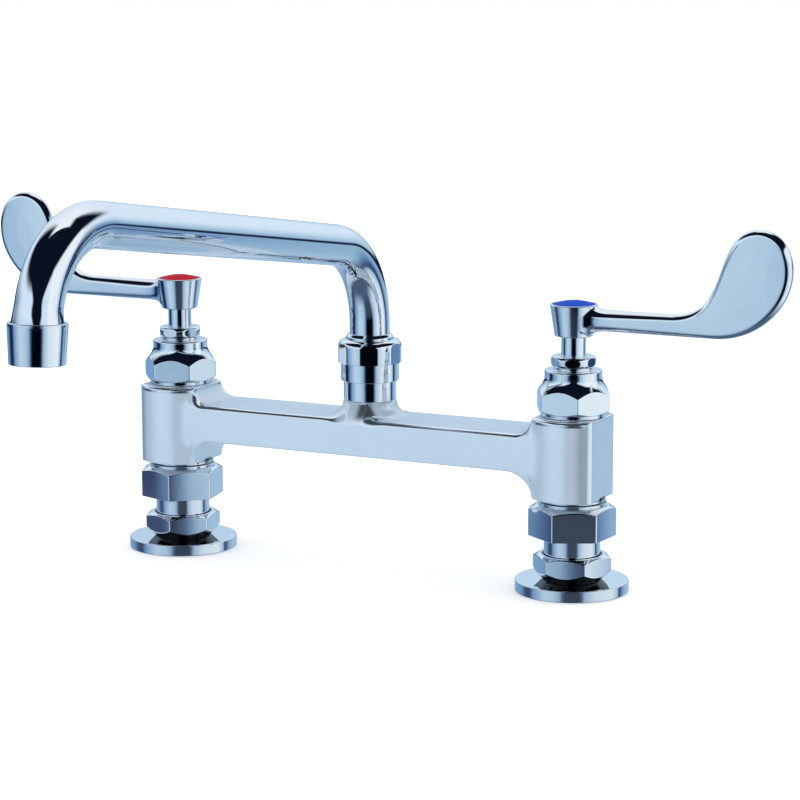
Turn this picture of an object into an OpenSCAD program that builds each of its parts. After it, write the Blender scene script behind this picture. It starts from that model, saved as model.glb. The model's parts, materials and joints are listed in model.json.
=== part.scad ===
/* [Layout] */
// Distance between the hot and the cold column, axis to axis
centre_spacing = 203.2; // [160:0.1:260]

/* [Deck flange] */
// Diameter of the flange that stands on the deck
flange_d = 51.2; // [46:0.1:60]
// Thickness of the flange
flange_t = 5; // [4:0.1:7]
// Bevel round the upper edge of the flange
flange_bevel = 0.5; // [0.2:0.1:1]

/* [Inlet shank] */
// Diameter of the polished part of the shank
shank_d = 25.4; // [24.6:0.1:26]
// Diameter of the thread on the lower end of the shank
shank_thread_d = 24; // [22.6:0.1:24.2]
// Height of polished shank that shows between the two nuts
shank_show = 8.2; // [5:0.1:16]
// Bore of the inlet thread in the foot of the shank
inlet_d = 18.2; // [16:0.1:18.4]
// Depth of the inlet thread
inlet_depth = 14; // [9:0.5:18]
// Diameter of the waterway up through the shank
waterway_d = 14; // [10:0.5:15]

/* [Lock nut] */
// Width across the flats of the lock nut
lock_nut_af = 31.2; // [30:0.1:34]
// Height of the lock nut
lock_nut_h = 11.8; // [9:0.1:15]

/* [Coupling nut] */
// Width across the flats of the coupling nut
coupling_nut_af = 34.5; // [33:0.1:38]
// Height of the coupling nut
coupling_nut_h = 14.4; // [13:0.1:20]
// Diameter of the thread between the coupling nut and the body
tail_thread_d = 28; // [27.4:0.1:29]
// Height of the trim ring on top of the coupling nut
tail_ring_h = 1.5; // [1:0.1:2.5]
// Diameter of the trim ring
tail_ring_d = 30.8; // [30:0.1:32]

/* [Body casting] */
// Diameter of the rounded front and back of each column
column_d = 38.8; // [36:0.1:44]
// Width across the flat sides of each column
column_flat = 29; // [27:0.1:32]
// Height of the columns
body_h = 36.8; // [33:0.1:50]
// Depth of the bridge from front to back
bridge_depth = 33; // [28:0.5:36]
// Height of the bridge
bridge_h = 17; // [14:0.1:19]
// Height of the underside of the bridge above the foot of the columns
bridge_lift = 12; // [8:0.1:14]
// Diameter of the passage along the inside of the bridge
passage_d = 10; // [6:0.5:11]
// Height of the turned neck under each column
neck_ring_h = 1.9; // [1:0.1:3]
// Diameter of the turned neck under each column
neck_ring_d = 29.8; // [29:0.1:31]
// Diameter of the valve chamber in each column
chamber_d = 22.4; // [21.6:0.1:23.6]

/* [Bonnet] */
// Width across the flats of the bonnet
bonnet_af = 30.5; // [28:0.1:33]
// Height of the hexagon of the bonnet
bonnet_hex_h = 10.4; // [8:0.1:13]
// Height of the hollow flare above the hexagon
bonnet_flare_h = 6.1; // [4:0.1:8]
// Diameter of the round head of the bonnet
bonnet_head_d = 25.8; // [24:0.1:28]
// Height of the round head of the bonnet
bonnet_head_h = 2.45; // [2:0.05:6]
// Height of the sealing ring under the bonnet
bonnet_ring_h = 1.9; // [1:0.1:3]
// Diameter of the sealing ring under the bonnet
bonnet_ring_d = 29; // [27:0.1:30]

/* [Packing nut] */
// Width across the flats of the packing nut
packing_nut_af = 19; // [18:0.1:20]
// Height of the packing nut
packing_nut_h = 4.9; // [4:0.1:6]
// Height of the bonnet neck that shows under the packing nut
packing_neck_h = 1.25; // [1:0.05:4]
// Diameter of that neck
packing_neck_d = 18; // [17.4:0.1:19]

/* [Spindle and discs] */
// Diameter of the spindle
spindle_d = 11; // [10:0.1:11.6]
// Length of the spindle that shows under the handle
spindle_show = 8.75; // [6:0.05:14]
// Width of the square end that drives the handle
spindle_square = 7; // [5.5:0.1:7.4]
// Diameter of the ceramic discs
disc_d = 16.4; // [15.6:0.1:16.8]
// Thickness of each ceramic disc
disc_t = 3; // [2.4:0.1:3.4]

/* [Handle] */
// Reach of the handle from the spindle to the tip of the blade
handle_reach = 100; // [85:0.5:120]
// Rise of the top of the blade above the middle of the arm
blade_rise = 43.7; // [36:0.1:52]
// Radius of the round end of the blade
blade_tip_r = 14.1; // [12:0.1:18]
// Thickness of the blade
blade_t = 6; // [4:0.1:7]
// Width of the arm where it leaves the hub, seen from above
arm_w = 9.4; // [8:0.1:11]
// Height of the arm
arm_h = 9.6; // [8:0.1:10.4]
// Diameter of the top of the hub
hub_top_d = 21.3; // [20:0.1:24]
// Diameter of the foot of the hub
hub_foot_d = 17; // [15:0.1:19]
// Height of the hub
hub_h = 13.95; // [13:0.05:17]
// Diameter of the coloured index button
index_d = 19; // [16:0.1:19.4]

/* [Swivel] */
// How much wider than the spout tube the neck on the body is
adapter_neck_step = 5.8; // [5.5:0.1:7.5]
// Height of that neck
adapter_neck_h = 8.8; // [6:0.1:14]
// How much wider than the spout tube the collar above the neck is
adapter_collar_step = 8.4; // [7.7:0.1:9.5]
// Height of that collar
adapter_collar_h = 8.3; // [5:0.1:12]
// How much wider than the spout tube the swivel nut is
swivel_nut_step = 10.7; // [10.1:0.1:13.5]
// How much deeper than its round the six small flats of the swivel nut lie, across the nut
swivel_flat_drop = 1.1; // [0.8:0.1:1.6]
// Height of the swivel nut
swivel_nut_h = 10.8; // [10:0.1:14]
// Radius of the round shoulder of the swivel nut
swivel_shoulder_r = 3.4; // [2:0.1:3.6]
// How much wider than the spout tube the running fit of the swivel is
swivel_bore_step = 2.5; // [1.9:0.1:2.9]

/* [Spout] */
// Outside diameter of the spout tube
tube_d = 18.5; // [16:0.1:22.2]
// Wall of the spout tube
tube_wall = 1; // [0.8:0.1:1.5]
// Height of straight riser above the swivel nut
riser_show = 4.6; // [2:0.1:40]
// Bend radius over the swivel, on the centre line
riser_bend_r = 40.2; // [30:0.1:60]
// Angle of that bend
riser_bend_angle = 81.5; // [76:0.5:88]
// Length of the straight run of the spout
run_l = 194.7; // [120:0.1:260]
// Bend radius over the outlet, on the centre line
outlet_bend_r = 36.3; // [30:0.1:50]
// Angle of the bend over the outlet
outlet_bend_angle = 95; // [88:0.5:100]

/* [Outlet] */
// How much wider than the spout tube the top of the outlet collar is
outlet_top_step = 4.5; // [4.1:0.1:7]
// How much wider than the spout tube the mouth of the outlet collar is
outlet_mouth_step = 2.9; // [2.1:0.1:5.5]
// Length of the outlet collar
outlet_l = 15.7; // [13:0.1:24]
// How much narrower than the spout tube the bore of the outlet is
outlet_bore_step = 0.9; // [0.5:0.1:2.5]

/* [Hidden] */

$fn = 96;

// Colours
chrome_tone = "#c6d3de";
brass_tone = "#c8a24c";
rubber_tone = "#24262a";
plastic_tone = "#e8e9e4";
ceramic_tone = "#f2efe6";
hot_tone = "#c01625";
cold_tone = "#1f4fc4";

// Which side a piece is on
hot = -1;
cold = 1;

// Overrun of cuts past the faces that they open
overrun = 1;
// Radial clearance of screwed and pushed fits
fit_gap = 0.05;
// Axial gap between pieces that turn on each other
turn_gap = 0.3;
// How far a fused shape bites into its neighbour
bite = 2;
// Step left at the end of a fillet so that it never runs out to nothing
fillet_lip = 0.05;
// Number of hexagon sides and how its corner radius follows its flats
hex_sides = 6;
hex_corner_ratio = 1 / cos(180 / hex_sides);
// Slope of the turned bevels on nuts
nut_bevel_angle = 30;

// Half of the column spacing
half_spacing = centre_spacing / 2;

// Heights of the column, from the deck up
lock_nut_z = flange_t;
lock_nut_top = lock_nut_z + lock_nut_h;
coupling_nut_z = lock_nut_top + shank_show;
coupling_nut_top = coupling_nut_z + coupling_nut_h;
tail_ring_top = coupling_nut_top + tail_ring_h;
body_z = tail_ring_top + neck_ring_h;
body_top = body_z + body_h;
bonnet_z = body_top + bonnet_ring_h;
bonnet_hex_top = bonnet_z + bonnet_hex_h;
bonnet_flare_top = bonnet_hex_top + bonnet_flare_h;
bonnet_top = bonnet_flare_top + bonnet_head_h;
packing_nut_z = bonnet_top + packing_neck_h;
packing_nut_top = packing_nut_z + packing_nut_h;
hub_z = packing_nut_top + spindle_show;
hub_top = hub_z + hub_h;

// Bridge
bridge_z = body_z + bridge_lift;
bridge_top = bridge_z + bridge_h;
passage_z = bridge_z + bridge_h / 2;
column_edge = sqrt(pow(column_d / 2, 2) - pow(column_flat / 2, 2));
column_bevel = 1;
column_bevel_run = 1.9;

// How each nut happened to stop when it was tightened, hot and then cold
lock_nut_turns = [40, 12];
coupling_nut_turns = [42, 26];
bonnet_turns = [15, 0];
packing_nut_turns = [59, 20];
swivel_nut_turn = 25;

// Lock nut bevels
lock_nut_top_out = 0.3;
lock_nut_foot_in = 2.6;
lock_nut_top_bevel_r = lock_nut_af / 2 + lock_nut_top_out;
lock_nut_foot_bevel_r = lock_nut_af / 2 - lock_nut_foot_in;
lock_nut_foot_bevel_angle = 45;
lock_nut_sink = 0.9;

// Coupling nut: a lip grips the collar of the shank
coupling_lip = 3.2;
coupling_bevel_in = 0.95;
coupling_bevel_r = coupling_nut_af / 2 - coupling_bevel_in;
shank_collar_h = 2.8;
shank_collar_room = 0.4;
shank_collar_d = tail_thread_d - 2 * shank_collar_room;
shank_collar_z = coupling_nut_z + coupling_lip + fit_gap;
shank_top = shank_collar_z + shank_collar_h;
coupling_washer_t = 1.5;
tail_foot = shank_top + coupling_washer_t;
tail_bore_d = waterway_d;

// How far the corners of the bonnet's hexagon are turned down at the top, and how far its foot stands out
bonnet_corner_drop = 2.4;
bonnet_foot_out = 0.7;

// Points that the flare heads for and comes from, across and up, as shares of the way from corner to head
flare_lead_shares = [0.36, 0.19];
flare_end_shares = [1.04, 0.55];

// Valve chamber, seal, discs and cartridge shell of the bonnet
chamber_drop = 2.4;
chamber_floor = bridge_z - chamber_drop;
seat_seal_t = 3.6;
seat_seal_wall = 1.1;
seat_seal_d = disc_d + 2 * seat_seal_wall;
shell_wall = 1.4;
shell_d = disc_d + 2 * (shell_wall + fit_gap);
shell_foot = chamber_floor + seat_seal_t;
disc_bed = 0.4;
fixed_disc_z = shell_foot - disc_bed;
turning_disc_z = fixed_disc_z + disc_t + fit_gap;
driver_z = turning_disc_z + disc_t + fit_gap;
driver_h = 4.2;
driver_room = 0.4;
driver_d = disc_d - 2 * driver_room;
shell_thread_h = 11;
shell_thread_z = body_top - shell_thread_h;
window_h = 8.5;
window_w = 8;
window_z = turning_disc_z;
disc_port_r = 1.9;
disc_port_out = 0.2;
disc_port_place = disc_d / 4 + disc_port_out;
spindle_collar_h = 3;
spindle_collar_d = 15.2;
spindle_collar_lift = 1.4;
spindle_collar_z = bonnet_z + spindle_collar_lift;
bonnet_room_top = spindle_collar_z + spindle_collar_h + turn_gap;
spindle_waist_d = 8.6;
spindle_seal_r = 0.9;
spindle_seal_step = 4;

// Packing
packing_box_d = 13.6;
packing_box_sink = 1.4;
packing_box_floor = bonnet_top - packing_box_sink;
packing_nut_wall = 1.3;
packing_thread_d = packing_nut_af - 2 * packing_nut_wall;
packing_cap_t = 1.5;
// The nut is turned to a barrel, and its flats are cut into that:
// how far the barrel stands out, and its bulge
packing_nut_out = 0.6;
packing_nut_bulge = 1.6;
barrel_share = 0.15;
// A cubic stands out by three quarters of the reach of its two inner points
cubic_reach = 4 / 3;
packing_thread_top = packing_nut_top - packing_cap_t - fit_gap;
packing_top = packing_thread_top - turn_gap;

// Handle
hub_socket_depth = 7.4;
hub_web = 2;
screw_head_d = 8;
screw_head_h = 2.6;
screw_d = 4.6;
screw_l = 9;
index_recess = 1.3;
// Rise of the button's dome over its edge
index_rise = 2;
index_t = index_recess + index_rise;
index_dome_r = (pow(index_d / 2, 2) + pow(index_rise, 2)) / (2 * index_rise);
arm_share = 0.558;
arm_z = hub_z + hub_h * arm_share;
blade_centre_x = handle_reach - blade_tip_r;
blade_centre_z = arm_z + blade_rise - blade_tip_r;
// Where the belly and the throat of the blade start and bend, as shares of the reach
belly_start_share = 0.66;
belly_bend_share = 0.89;
throat_start_share = 0.465;
throat_bend_share = 0.68;
// Ends of the round tip, and how far its tangents lead, as shares of its radius
tip_start_angle = 23;
tip_end_angle = 145;
belly_lead = 1.42;
throat_lead = 1.04;
blade_thin_share = 0.58;

// Swivel
boss_sink = 0.1;
boss_top = body_top - boss_sink;
boss_flare_r = 6.4;
adapter_z = boss_top;
adapter_neck_top = adapter_z + adapter_neck_h;
swivel_nut_z = adapter_neck_top + adapter_collar_h;
swivel_nut_top = swivel_nut_z + swivel_nut_h;
swivel_lip = 1.5;
swivel_bore_d = tube_d + swivel_bore_step;
swivel_wall = 2.2;
swivel_thread_d = swivel_bore_d + 2 * swivel_wall;
swivel_nut_d = tube_d + swivel_nut_step;
swivel_nut_af = swivel_nut_d - swivel_flat_drop;
bush_flange_t = 1.5;
bush_flange_step = 5.7;
bush_flange_d = tube_d + bush_flange_step;
adapter_top = swivel_nut_top - swivel_lip - bush_flange_t - 2 * turn_gap;
adapter_neck_d = tube_d + adapter_neck_step;
adapter_collar_d = tube_d + adapter_collar_step;
adapter_spigot_wall = 2.5;
adapter_spigot_l = 8.5;
adapter_floor_t = 2.5;
adapter_floor = adapter_z + adapter_floor_t;
adapter_bore_step = 3.5;
adapter_bore_d = tube_d - adapter_bore_step;
adapter_spigot_d = adapter_bore_d + 2 * adapter_spigot_wall;
adapter_washer_t = 1.2;
bush_show_step = 3.3;
bush_show_d = tube_d + bush_show_step;
bush_show_h = 2.5;
bush_bead = 1.6;
bush_socket_rise = 8.2;
bush_socket_z = adapter_floor + bush_socket_rise;
spout_seal_r = 0.85;
spout_groove_h = 1.9;
spout_groove_depth = 1.8;
spout_groove_d = swivel_bore_d - 2 * spout_groove_depth;
spout_groove_rises = [1.6, 5.2];

// Spout path in the plane of the spout
riser_top = swivel_nut_top + bush_show_h + riser_show;
run_start_y = riser_bend_r * (1 - cos(riser_bend_angle));
run_start_z = riser_top + riser_bend_r * sin(riser_bend_angle);
run_end_y = run_start_y + run_l * sin(riser_bend_angle);
run_end_z = run_start_z + run_l * cos(riser_bend_angle);
outlet_lean = 180 - riser_bend_angle - outlet_bend_angle;
outlet_centre_y = run_end_y + outlet_bend_r * cos(riser_bend_angle);
outlet_centre_z = run_end_z - outlet_bend_r * sin(riser_bend_angle);
tube_end_y = outlet_centre_y + outlet_bend_r * cos(outlet_lean);
tube_end_z = outlet_centre_z + outlet_bend_r * sin(outlet_lean);
// How the straight lengths of the tube lap its bends
tube_lap = 0.5;
tube_step = 0.02;
flare_angle = 13;
flare_step = 2.1;
flare_d = tube_d + flare_step;
outlet_top_d = tube_d + outlet_top_step;
outlet_mouth_d = tube_d + outlet_mouth_step;
outlet_bore_d = tube_d - outlet_bore_step;
flare_sink = 0.4;
socket_l = 3;
collar_lap = 1.5;
straightener_ledge = 0.5;
straightener_d = outlet_bore_d + 2 * straightener_ledge;
straightener_l = 5;
straightener_vane = 1;
straightener_inset = 6;

// Shapes that several pieces share

// A tube standing on the height z
module tube(outer_d, inner_d, z, h) {
    translate([0, 0, z]) difference() {
        cylinder(d = outer_d, h = h);
        translate([0, 0, -overrun]) cylinder(d = inner_d, h = h + 2 * overrun);
    }
}

// A hole from the height z up
module hole(d, z, h) {
    translate([0, 0, z]) cylinder(d = d, h = h);
}

// A hexagon bar whose corners are turned off above and below
module turned_hex(af, z, h, top_r, top_angle, foot_r, foot_angle, turn) {
    corner_r = af / 2 * hex_corner_ratio;
    reach = corner_r + overrun;
    top_drop = (reach - top_r) * tan(top_angle);
    foot_lift = (reach - foot_r) * tan(foot_angle);
    translate([0, 0, z]) intersection() {
        rotate([0, 0, turn]) cylinder(r = corner_r, h = h, $fn = hex_sides);
        rotate_extrude() polygon([
            [0, 0], [foot_r, 0], [reach, foot_lift],
            [reach, h - top_drop], [top_r, h], [0, h]
        ]);
    }
}

// One of the two columns
module at_column(side) {
    translate([side * half_spacing, 0, 0]) children();
}

// The value of a pair that belongs to a side
function of_side(pair, side) = side == hot ? pair[0] : pair[1];

// Both parts of a way, each cut to its share
function part_of(way, shares) = [way[0] * shares[0], way[1] * shares[1]];

// A cubic curve between a and d that heads for b and comes from c
function curve(a, b, c, d, steps) = [
    for (i = [0 : steps]) let (t = i / steps, u = 1 - t)
        a * u * u * u + b * 3 * u * u * t + c * 3 * u * t * t + d * t * t * t
];

// Body

// A column: round at the front and back, flat at the sides
module column() {
    r = column_d / 2;
    intersection() {
        translate([0, 0, body_z]) rotate_extrude() polygon([
            [0, 0], [r - column_bevel_run / 2, 0], [r, column_bevel / 2],
            [r, body_h - column_bevel], [r - column_bevel_run, body_h], [0, body_h]
        ]);
        translate([-column_flat / 2, -r, body_z]) cube([column_flat, column_d, body_h]);
    }
}

// The hollow corner between a column's flat side and the bridge, drawn for the cold side
module bridge_corner(r, up) {
    flat_x = half_spacing - column_flat / 2;
    z = up > 0 ? bridge_top : bridge_z;
    intersection() {
        translate([flat_x, 0, z]) mirror([0, 0, up > 0 ? 0 : 1]) rotate([90, 0, 0])
            linear_extrude(bridge_depth, center = true) difference() {
                translate([-r, -bite]) square([r + bite, r + bite]);
                translate([-r, r]) circle(r = r - fillet_lip);
            }
        translate([0, 0, z - r]) linear_extrude(2 * r) polygon([
            [flat_x + bite, -column_edge], [flat_x + bite, column_edge], [flat_x, column_edge],
            [flat_x - r, bridge_depth / 2], [flat_x - r, -bridge_depth / 2], [flat_x, -column_edge]
        ]);
    }
}

// The round boss that carries the swivel, spreading into the bridge
module outlet_boss() {
    boss_r = adapter_neck_d / 2;
    flare_top = bridge_top + boss_flare_r;
    intersection() {
        union() {
            hole(adapter_neck_d, bridge_z + bite, boss_top - bridge_z - bite);
            translate([0, 0, bridge_top - bite]) rotate_extrude() difference() {
                square([boss_r + boss_flare_r, boss_flare_r + bite]);
                translate([boss_r + boss_flare_r, boss_flare_r + bite])
                    circle(r = boss_flare_r - fillet_lip);
            }
        }
        translate([-half_spacing, -bridge_depth / 2, bridge_z])
            cube([centre_spacing, bridge_depth, body_top - bridge_z]);
    }
}

module bridge_body() {
    bar_l = centre_spacing - column_flat / 2;
    color(chrome_tone) difference() {
        union() {
            translate([-bar_l / 2, -bridge_depth / 2, bridge_z]) cube([bar_l, bridge_depth, bridge_h]);
            for (side = [hot, cold]) {
                at_column(side) {
                    column();
                    hole(neck_ring_d, tail_ring_top, neck_ring_h + bite);
                    hole(tail_thread_d, tail_foot, body_z - tail_foot + bite);
                }
                mirror([side == hot ? 1 : 0, 0, 0]) {
                    bridge_corner(body_top - bridge_top - column_bevel, 1);
                    bridge_corner(bridge_lift - column_bevel, -1);
                }
            }
            outlet_boss();
        }
        for (side = [hot, cold]) at_column(side) {
            hole(chamber_d, chamber_floor, body_top - chamber_floor + overrun);
            hole(tail_bore_d, tail_foot - overrun, chamber_floor - tail_foot + 2 * overrun);
        }
        translate([-half_spacing, 0, passage_z]) rotate([0, 90, 0])
            cylinder(d = passage_d, h = centre_spacing);
        hole(adapter_bore_d, passage_z, boss_top - passage_z + overrun);
        hole(adapter_spigot_d + 2 * fit_gap, adapter_z - adapter_spigot_l - adapter_washer_t,
            adapter_spigot_l + adapter_washer_t + overrun);
    }
}

// Feet

module deck_flange(side) {
    r = flange_d / 2;
    color(chrome_tone) at_column(side) difference() {
        rotate_extrude() polygon([
            [0, 0], [r, 0], [r, flange_t - flange_bevel], [r - flange_bevel, flange_t], [0, flange_t]
        ]);
        hole(shank_thread_d + 2 * fit_gap, -overrun, flange_t + 2 * overrun);
    }
}

module inlet_shank(side) {
    color(chrome_tone) at_column(side) difference() {
        union() {
            hole(shank_thread_d, 0, lock_nut_top + overrun);
            hole(shank_d, lock_nut_top - lock_nut_sink / 2, shank_top - lock_nut_top + lock_nut_sink / 2);
            hole(shank_collar_d, shank_collar_z, shank_collar_h);
        }
        hole(inlet_d, -overrun, inlet_depth + overrun);
        hole(waterway_d, inlet_depth - overrun, shank_top - inlet_depth + 2 * overrun);
    }
}

module lock_nut(side) {
    mouth_d = shank_d + 2 * lock_nut_sink;
    color(chrome_tone) at_column(side) difference() {
        turned_hex(lock_nut_af, lock_nut_z, lock_nut_h, lock_nut_top_bevel_r, nut_bevel_angle,
            lock_nut_foot_bevel_r, lock_nut_foot_bevel_angle, of_side(lock_nut_turns, side));
        hole(shank_thread_d + 2 * fit_gap, lock_nut_z - overrun, lock_nut_h + 2 * overrun);
        hole(mouth_d, lock_nut_top - lock_nut_sink, lock_nut_sink + overrun);
    }
}

module coupling_washer(side) {
    color(rubber_tone) at_column(side)
        tube(shank_collar_d, waterway_d, shank_top, coupling_washer_t);
}

module coupling_nut(side) {
    flat_foot_r = coupling_nut_af / 2 * hex_corner_ratio + overrun / 2;
    color(chrome_tone) at_column(side) difference() {
        turned_hex(coupling_nut_af, coupling_nut_z, coupling_nut_h, coupling_bevel_r, nut_bevel_angle,
            flat_foot_r, nut_bevel_angle, of_side(coupling_nut_turns, side));
        hole(shank_d + 2 * fit_gap, coupling_nut_z - overrun, coupling_nut_h);
        hole(tail_thread_d + 2 * fit_gap, coupling_nut_z + coupling_lip, coupling_nut_h);
    }
}

module tail_ring(side) {
    color(chrome_tone) at_column(side)
        tube(tail_ring_d, tail_thread_d + 2 * fit_gap, coupling_nut_top, tail_ring_h);
}

// Valves

module bonnet_ring(side) {
    color(chrome_tone) at_column(side)
        tube(bonnet_ring_d, chamber_d, body_top, bonnet_ring_h);
}

// The outside of the bonnet above the body: hexagon, hollow flare and round head
module bonnet_outside(turn) {
    head_r = bonnet_head_d / 2;
    corner_r = bonnet_af / 2 * hex_corner_ratio;
    foot_r = bonnet_ring_d / 2 + bonnet_foot_out;
    side_z = (corner_r - foot_r) * tan(nut_bevel_angle);
    flare_z = bonnet_hex_h - bonnet_corner_drop;
    head_z = bonnet_flare_top - bonnet_z;
    way = [head_r - corner_r, head_z - flare_z];
    corner = [corner_r, flare_z];
    translate([0, 0, bonnet_z]) intersection() {
        rotate([0, 0, turn]) cylinder(r = corner_r, h = bonnet_top - bonnet_z, $fn = hex_sides);
        rotate_extrude() polygon(concat(
            [[0, 0], [foot_r, 0], [corner_r + overrun, side_z], [corner_r + overrun, flare_z]],
            curve(corner, corner + part_of(way, flare_lead_shares),
                corner + part_of(way, flare_end_shares), corner + way, 8),
            [[head_r, bonnet_top - bonnet_z], [0, bonnet_top - bonnet_z]]
        ));
    }
    hole(packing_neck_d, bonnet_top - bite, packing_neck_h + bite);
    hole(packing_thread_d, packing_nut_z - bite, packing_thread_top - packing_nut_z + bite);
}

module bonnet(side) {
    inner_d = disc_d + 2 * fit_gap;
    color(chrome_tone) at_column(side) difference() {
        union() {
            bonnet_outside(of_side(bonnet_turns, side));
            hole(chamber_d - 2 * fit_gap, shell_thread_z, bonnet_z - shell_thread_z + bite);
            hole(shell_d, shell_foot, shell_thread_z - shell_foot + bite);
        }
        hole(inner_d, shell_foot - overrun, bonnet_room_top - shell_foot + overrun);
        hole(spindle_d + 2 * fit_gap, bonnet_room_top - overrun, packing_nut_top - bonnet_room_top);
        hole(packing_box_d, packing_box_floor, packing_nut_top - packing_box_floor);
        translate([-shell_d, -window_w / 2, window_z]) cube([2 * shell_d, window_w, window_h]);
    }
}

module seat_seal(side) {
    color(rubber_tone) at_column(side) difference() {
        hole(seat_seal_d, chamber_floor, seat_seal_t);
        hole(tail_bore_d - bite, chamber_floor - overrun, seat_seal_t + 2 * overrun);
        hole(disc_d + 2 * fit_gap, fixed_disc_z, seat_seal_t);
    }
}

// A ceramic disc with two ports
module ported_disc(z) {
    difference() {
        hole(disc_d - 2 * turn_gap, z, disc_t);
        for (end = [-1, 1]) translate([end * disc_port_place, 0, 0])
            hole(2 * disc_port_r, z - overrun, disc_t + 2 * overrun);
    }
}

module fixed_disc(side) {
    color(ceramic_tone) at_column(side) ported_disc(fixed_disc_z);
}

// Turned a quarter from the fixed disc, so that the valve is shut
module turning_disc(side) {
    color(ceramic_tone) at_column(side) rotate([0, 0, 90]) ported_disc(turning_disc_z);
}

module spindle(side) {
    waist_z = driver_z + driver_h;
    color(chrome_tone) at_column(side) difference() {
        union() {
            hole(driver_d, driver_z, driver_h);
            hole(spindle_waist_d, waist_z - overrun, spindle_collar_z - waist_z + 2 * overrun);
            hole(spindle_collar_d, spindle_collar_z, spindle_collar_h);
            hole(spindle_d, spindle_collar_z, hub_z - spindle_collar_z);
            translate([-spindle_square / 2, -spindle_square / 2, hub_z - overrun])
                cube([spindle_square, spindle_square, hub_socket_depth + overrun]);
        }
        hole(screw_d + 2 * fit_gap, hub_z + hub_socket_depth - screw_l, screw_l + overrun);
        for (i = [1, 2]) tube(spindle_d + overrun, spindle_d - 3 * spindle_seal_r,
            bonnet_room_top + i * spindle_seal_step - spindle_seal_r, 2 * spindle_seal_r);
    }
}

module spindle_seals(side) {
    color(rubber_tone) at_column(side) for (i = [1, 2])
        tube(spindle_d, spindle_d - 3 * spindle_seal_r + fit_gap,
            bonnet_room_top + i * spindle_seal_step - spindle_seal_r + fit_gap,
            2 * (spindle_seal_r - fit_gap));
}

module packing(side) {
    color(plastic_tone) at_column(side)
        tube(packing_box_d, spindle_d + 2 * fit_gap, packing_box_floor, packing_top - packing_box_floor);
}

// Small hexagon cut into a turned barrel, so that each flat is an oval
module packing_nut(side) {
    end_r = packing_nut_af / 2 + packing_nut_out - packing_nut_bulge;
    reach_r = end_r + packing_nut_bulge * cubic_reach;
    color(chrome_tone) at_column(side) difference() {
        translate([0, 0, packing_nut_z]) intersection() {
            rotate([0, 0, of_side(packing_nut_turns, side)])
                cylinder(r = packing_nut_af / 2 * hex_corner_ratio, h = packing_nut_h, $fn = hex_sides);
            rotate_extrude() polygon(concat([[0, 0]],
                curve([end_r, 0], [reach_r, packing_nut_h * barrel_share],
                    [reach_r, packing_nut_h * (1 - barrel_share)], [end_r, packing_nut_h], 8),
                [[0, packing_nut_h]]));
        }
        hole(packing_thread_d + 2 * fit_gap, packing_nut_z - overrun,
            packing_nut_h - packing_cap_t + overrun);
        hole(spindle_d + 2 * fit_gap, packing_nut_z, packing_nut_h + overrun);
    }
}

// Handles

// Point on the round tip of the blade, and the direction of travel there
function tip_point(a) = [blade_centre_x, blade_centre_z] + blade_tip_r * [cos(a), sin(a)];
function tip_heading(a) = blade_tip_r * [-sin(a), cos(a)];

// Side outline of the arm and blade, with the spindle at x = 0
function handle_outline() =
    let (
        low = arm_z - arm_h / 2,
        high = arm_z + arm_h / 2,
        tip_low = tip_point(tip_start_angle),
        tip_high = tip_point(tip_end_angle),
        tip_turn = tip_end_angle - tip_start_angle
    )
    concat(
        [[0, low]],
        curve([handle_reach * belly_start_share, low], [handle_reach * belly_bend_share, low],
            tip_low - belly_lead * tip_heading(tip_start_angle), tip_low, 12),
        [for (i = [1 : 11]) tip_point(tip_start_angle + tip_turn * i / 12)],
        curve(tip_high, tip_high + throat_lead * tip_heading(tip_end_angle),
            [handle_reach * throat_bend_share, high], [handle_reach * throat_start_share, high], 12),
        [[0, high]]
    );

// Arm and blade on the cold side: the side outline, thinned towards the blade
module lever() {
    root = arm_w / 2;
    thin = blade_t / 2;
    intersection() {
        rotate([90, 0, 0]) linear_extrude(arm_w, center = true) polygon(handle_outline());
        translate([0, 0, hub_z]) linear_extrude(hub_h + blade_rise) polygon([
            [0, -root], [hub_top_d / 2, -root], [handle_reach * blade_thin_share, -thin],
            [handle_reach + overrun, -thin], [handle_reach + overrun, thin],
            [handle_reach * blade_thin_share, thin], [hub_top_d / 2, root], [0, root]
        ]);
    }
}

module handle(side) {
    screw_floor = hub_z + hub_socket_depth + hub_web;
    color(chrome_tone) at_column(side) mirror([side == hot ? 1 : 0, 0, 0]) difference() {
        union() {
            translate([0, 0, hub_z]) cylinder(d1 = hub_foot_d, d2 = hub_top_d, h = hub_h);
            lever();
        }
        translate([-spindle_square / 2 - fit_gap, -spindle_square / 2 - fit_gap, hub_z - overrun])
            cube([spindle_square + 2 * fit_gap, spindle_square + 2 * fit_gap, hub_socket_depth + overrun]);
        hole(screw_d + 2 * fit_gap, hub_z, hub_h);
        hole(screw_head_d + 2 * fit_gap, screw_floor, hub_h);
        hole(index_d + 2 * fit_gap, hub_top - index_recess, index_recess + overrun);
    }
}

module handle_screw(side) {
    screw_floor = hub_z + hub_socket_depth + hub_web;
    color(brass_tone) at_column(side) difference() {
        union() {
            hole(screw_head_d, screw_floor, screw_head_h);
            hole(screw_d, screw_floor - hub_web - screw_l + bite, screw_l + hub_web - bite + overrun);
        }
        translate([-screw_head_d, -fit_gap * 10, screw_floor + screw_head_h / 2])
            cube([2 * screw_head_d, fit_gap * 20, screw_head_h]);
    }
}

// Plain coloured button with a low domed face
module index_button(side) {
    z = hub_top - index_recess;
    color(side == hot ? hot_tone : cold_tone) at_column(side) intersection() {
        hole(index_d, z, index_t);
        translate([0, 0, z + index_t - index_dome_r]) sphere(r = index_dome_r, $fn = 192);
    }
}

// Swivel

module adapter_washer() {
    color(rubber_tone)
        tube(adapter_spigot_d, adapter_bore_d, adapter_z - adapter_spigot_l - adapter_washer_t,
            adapter_washer_t);
}

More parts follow.
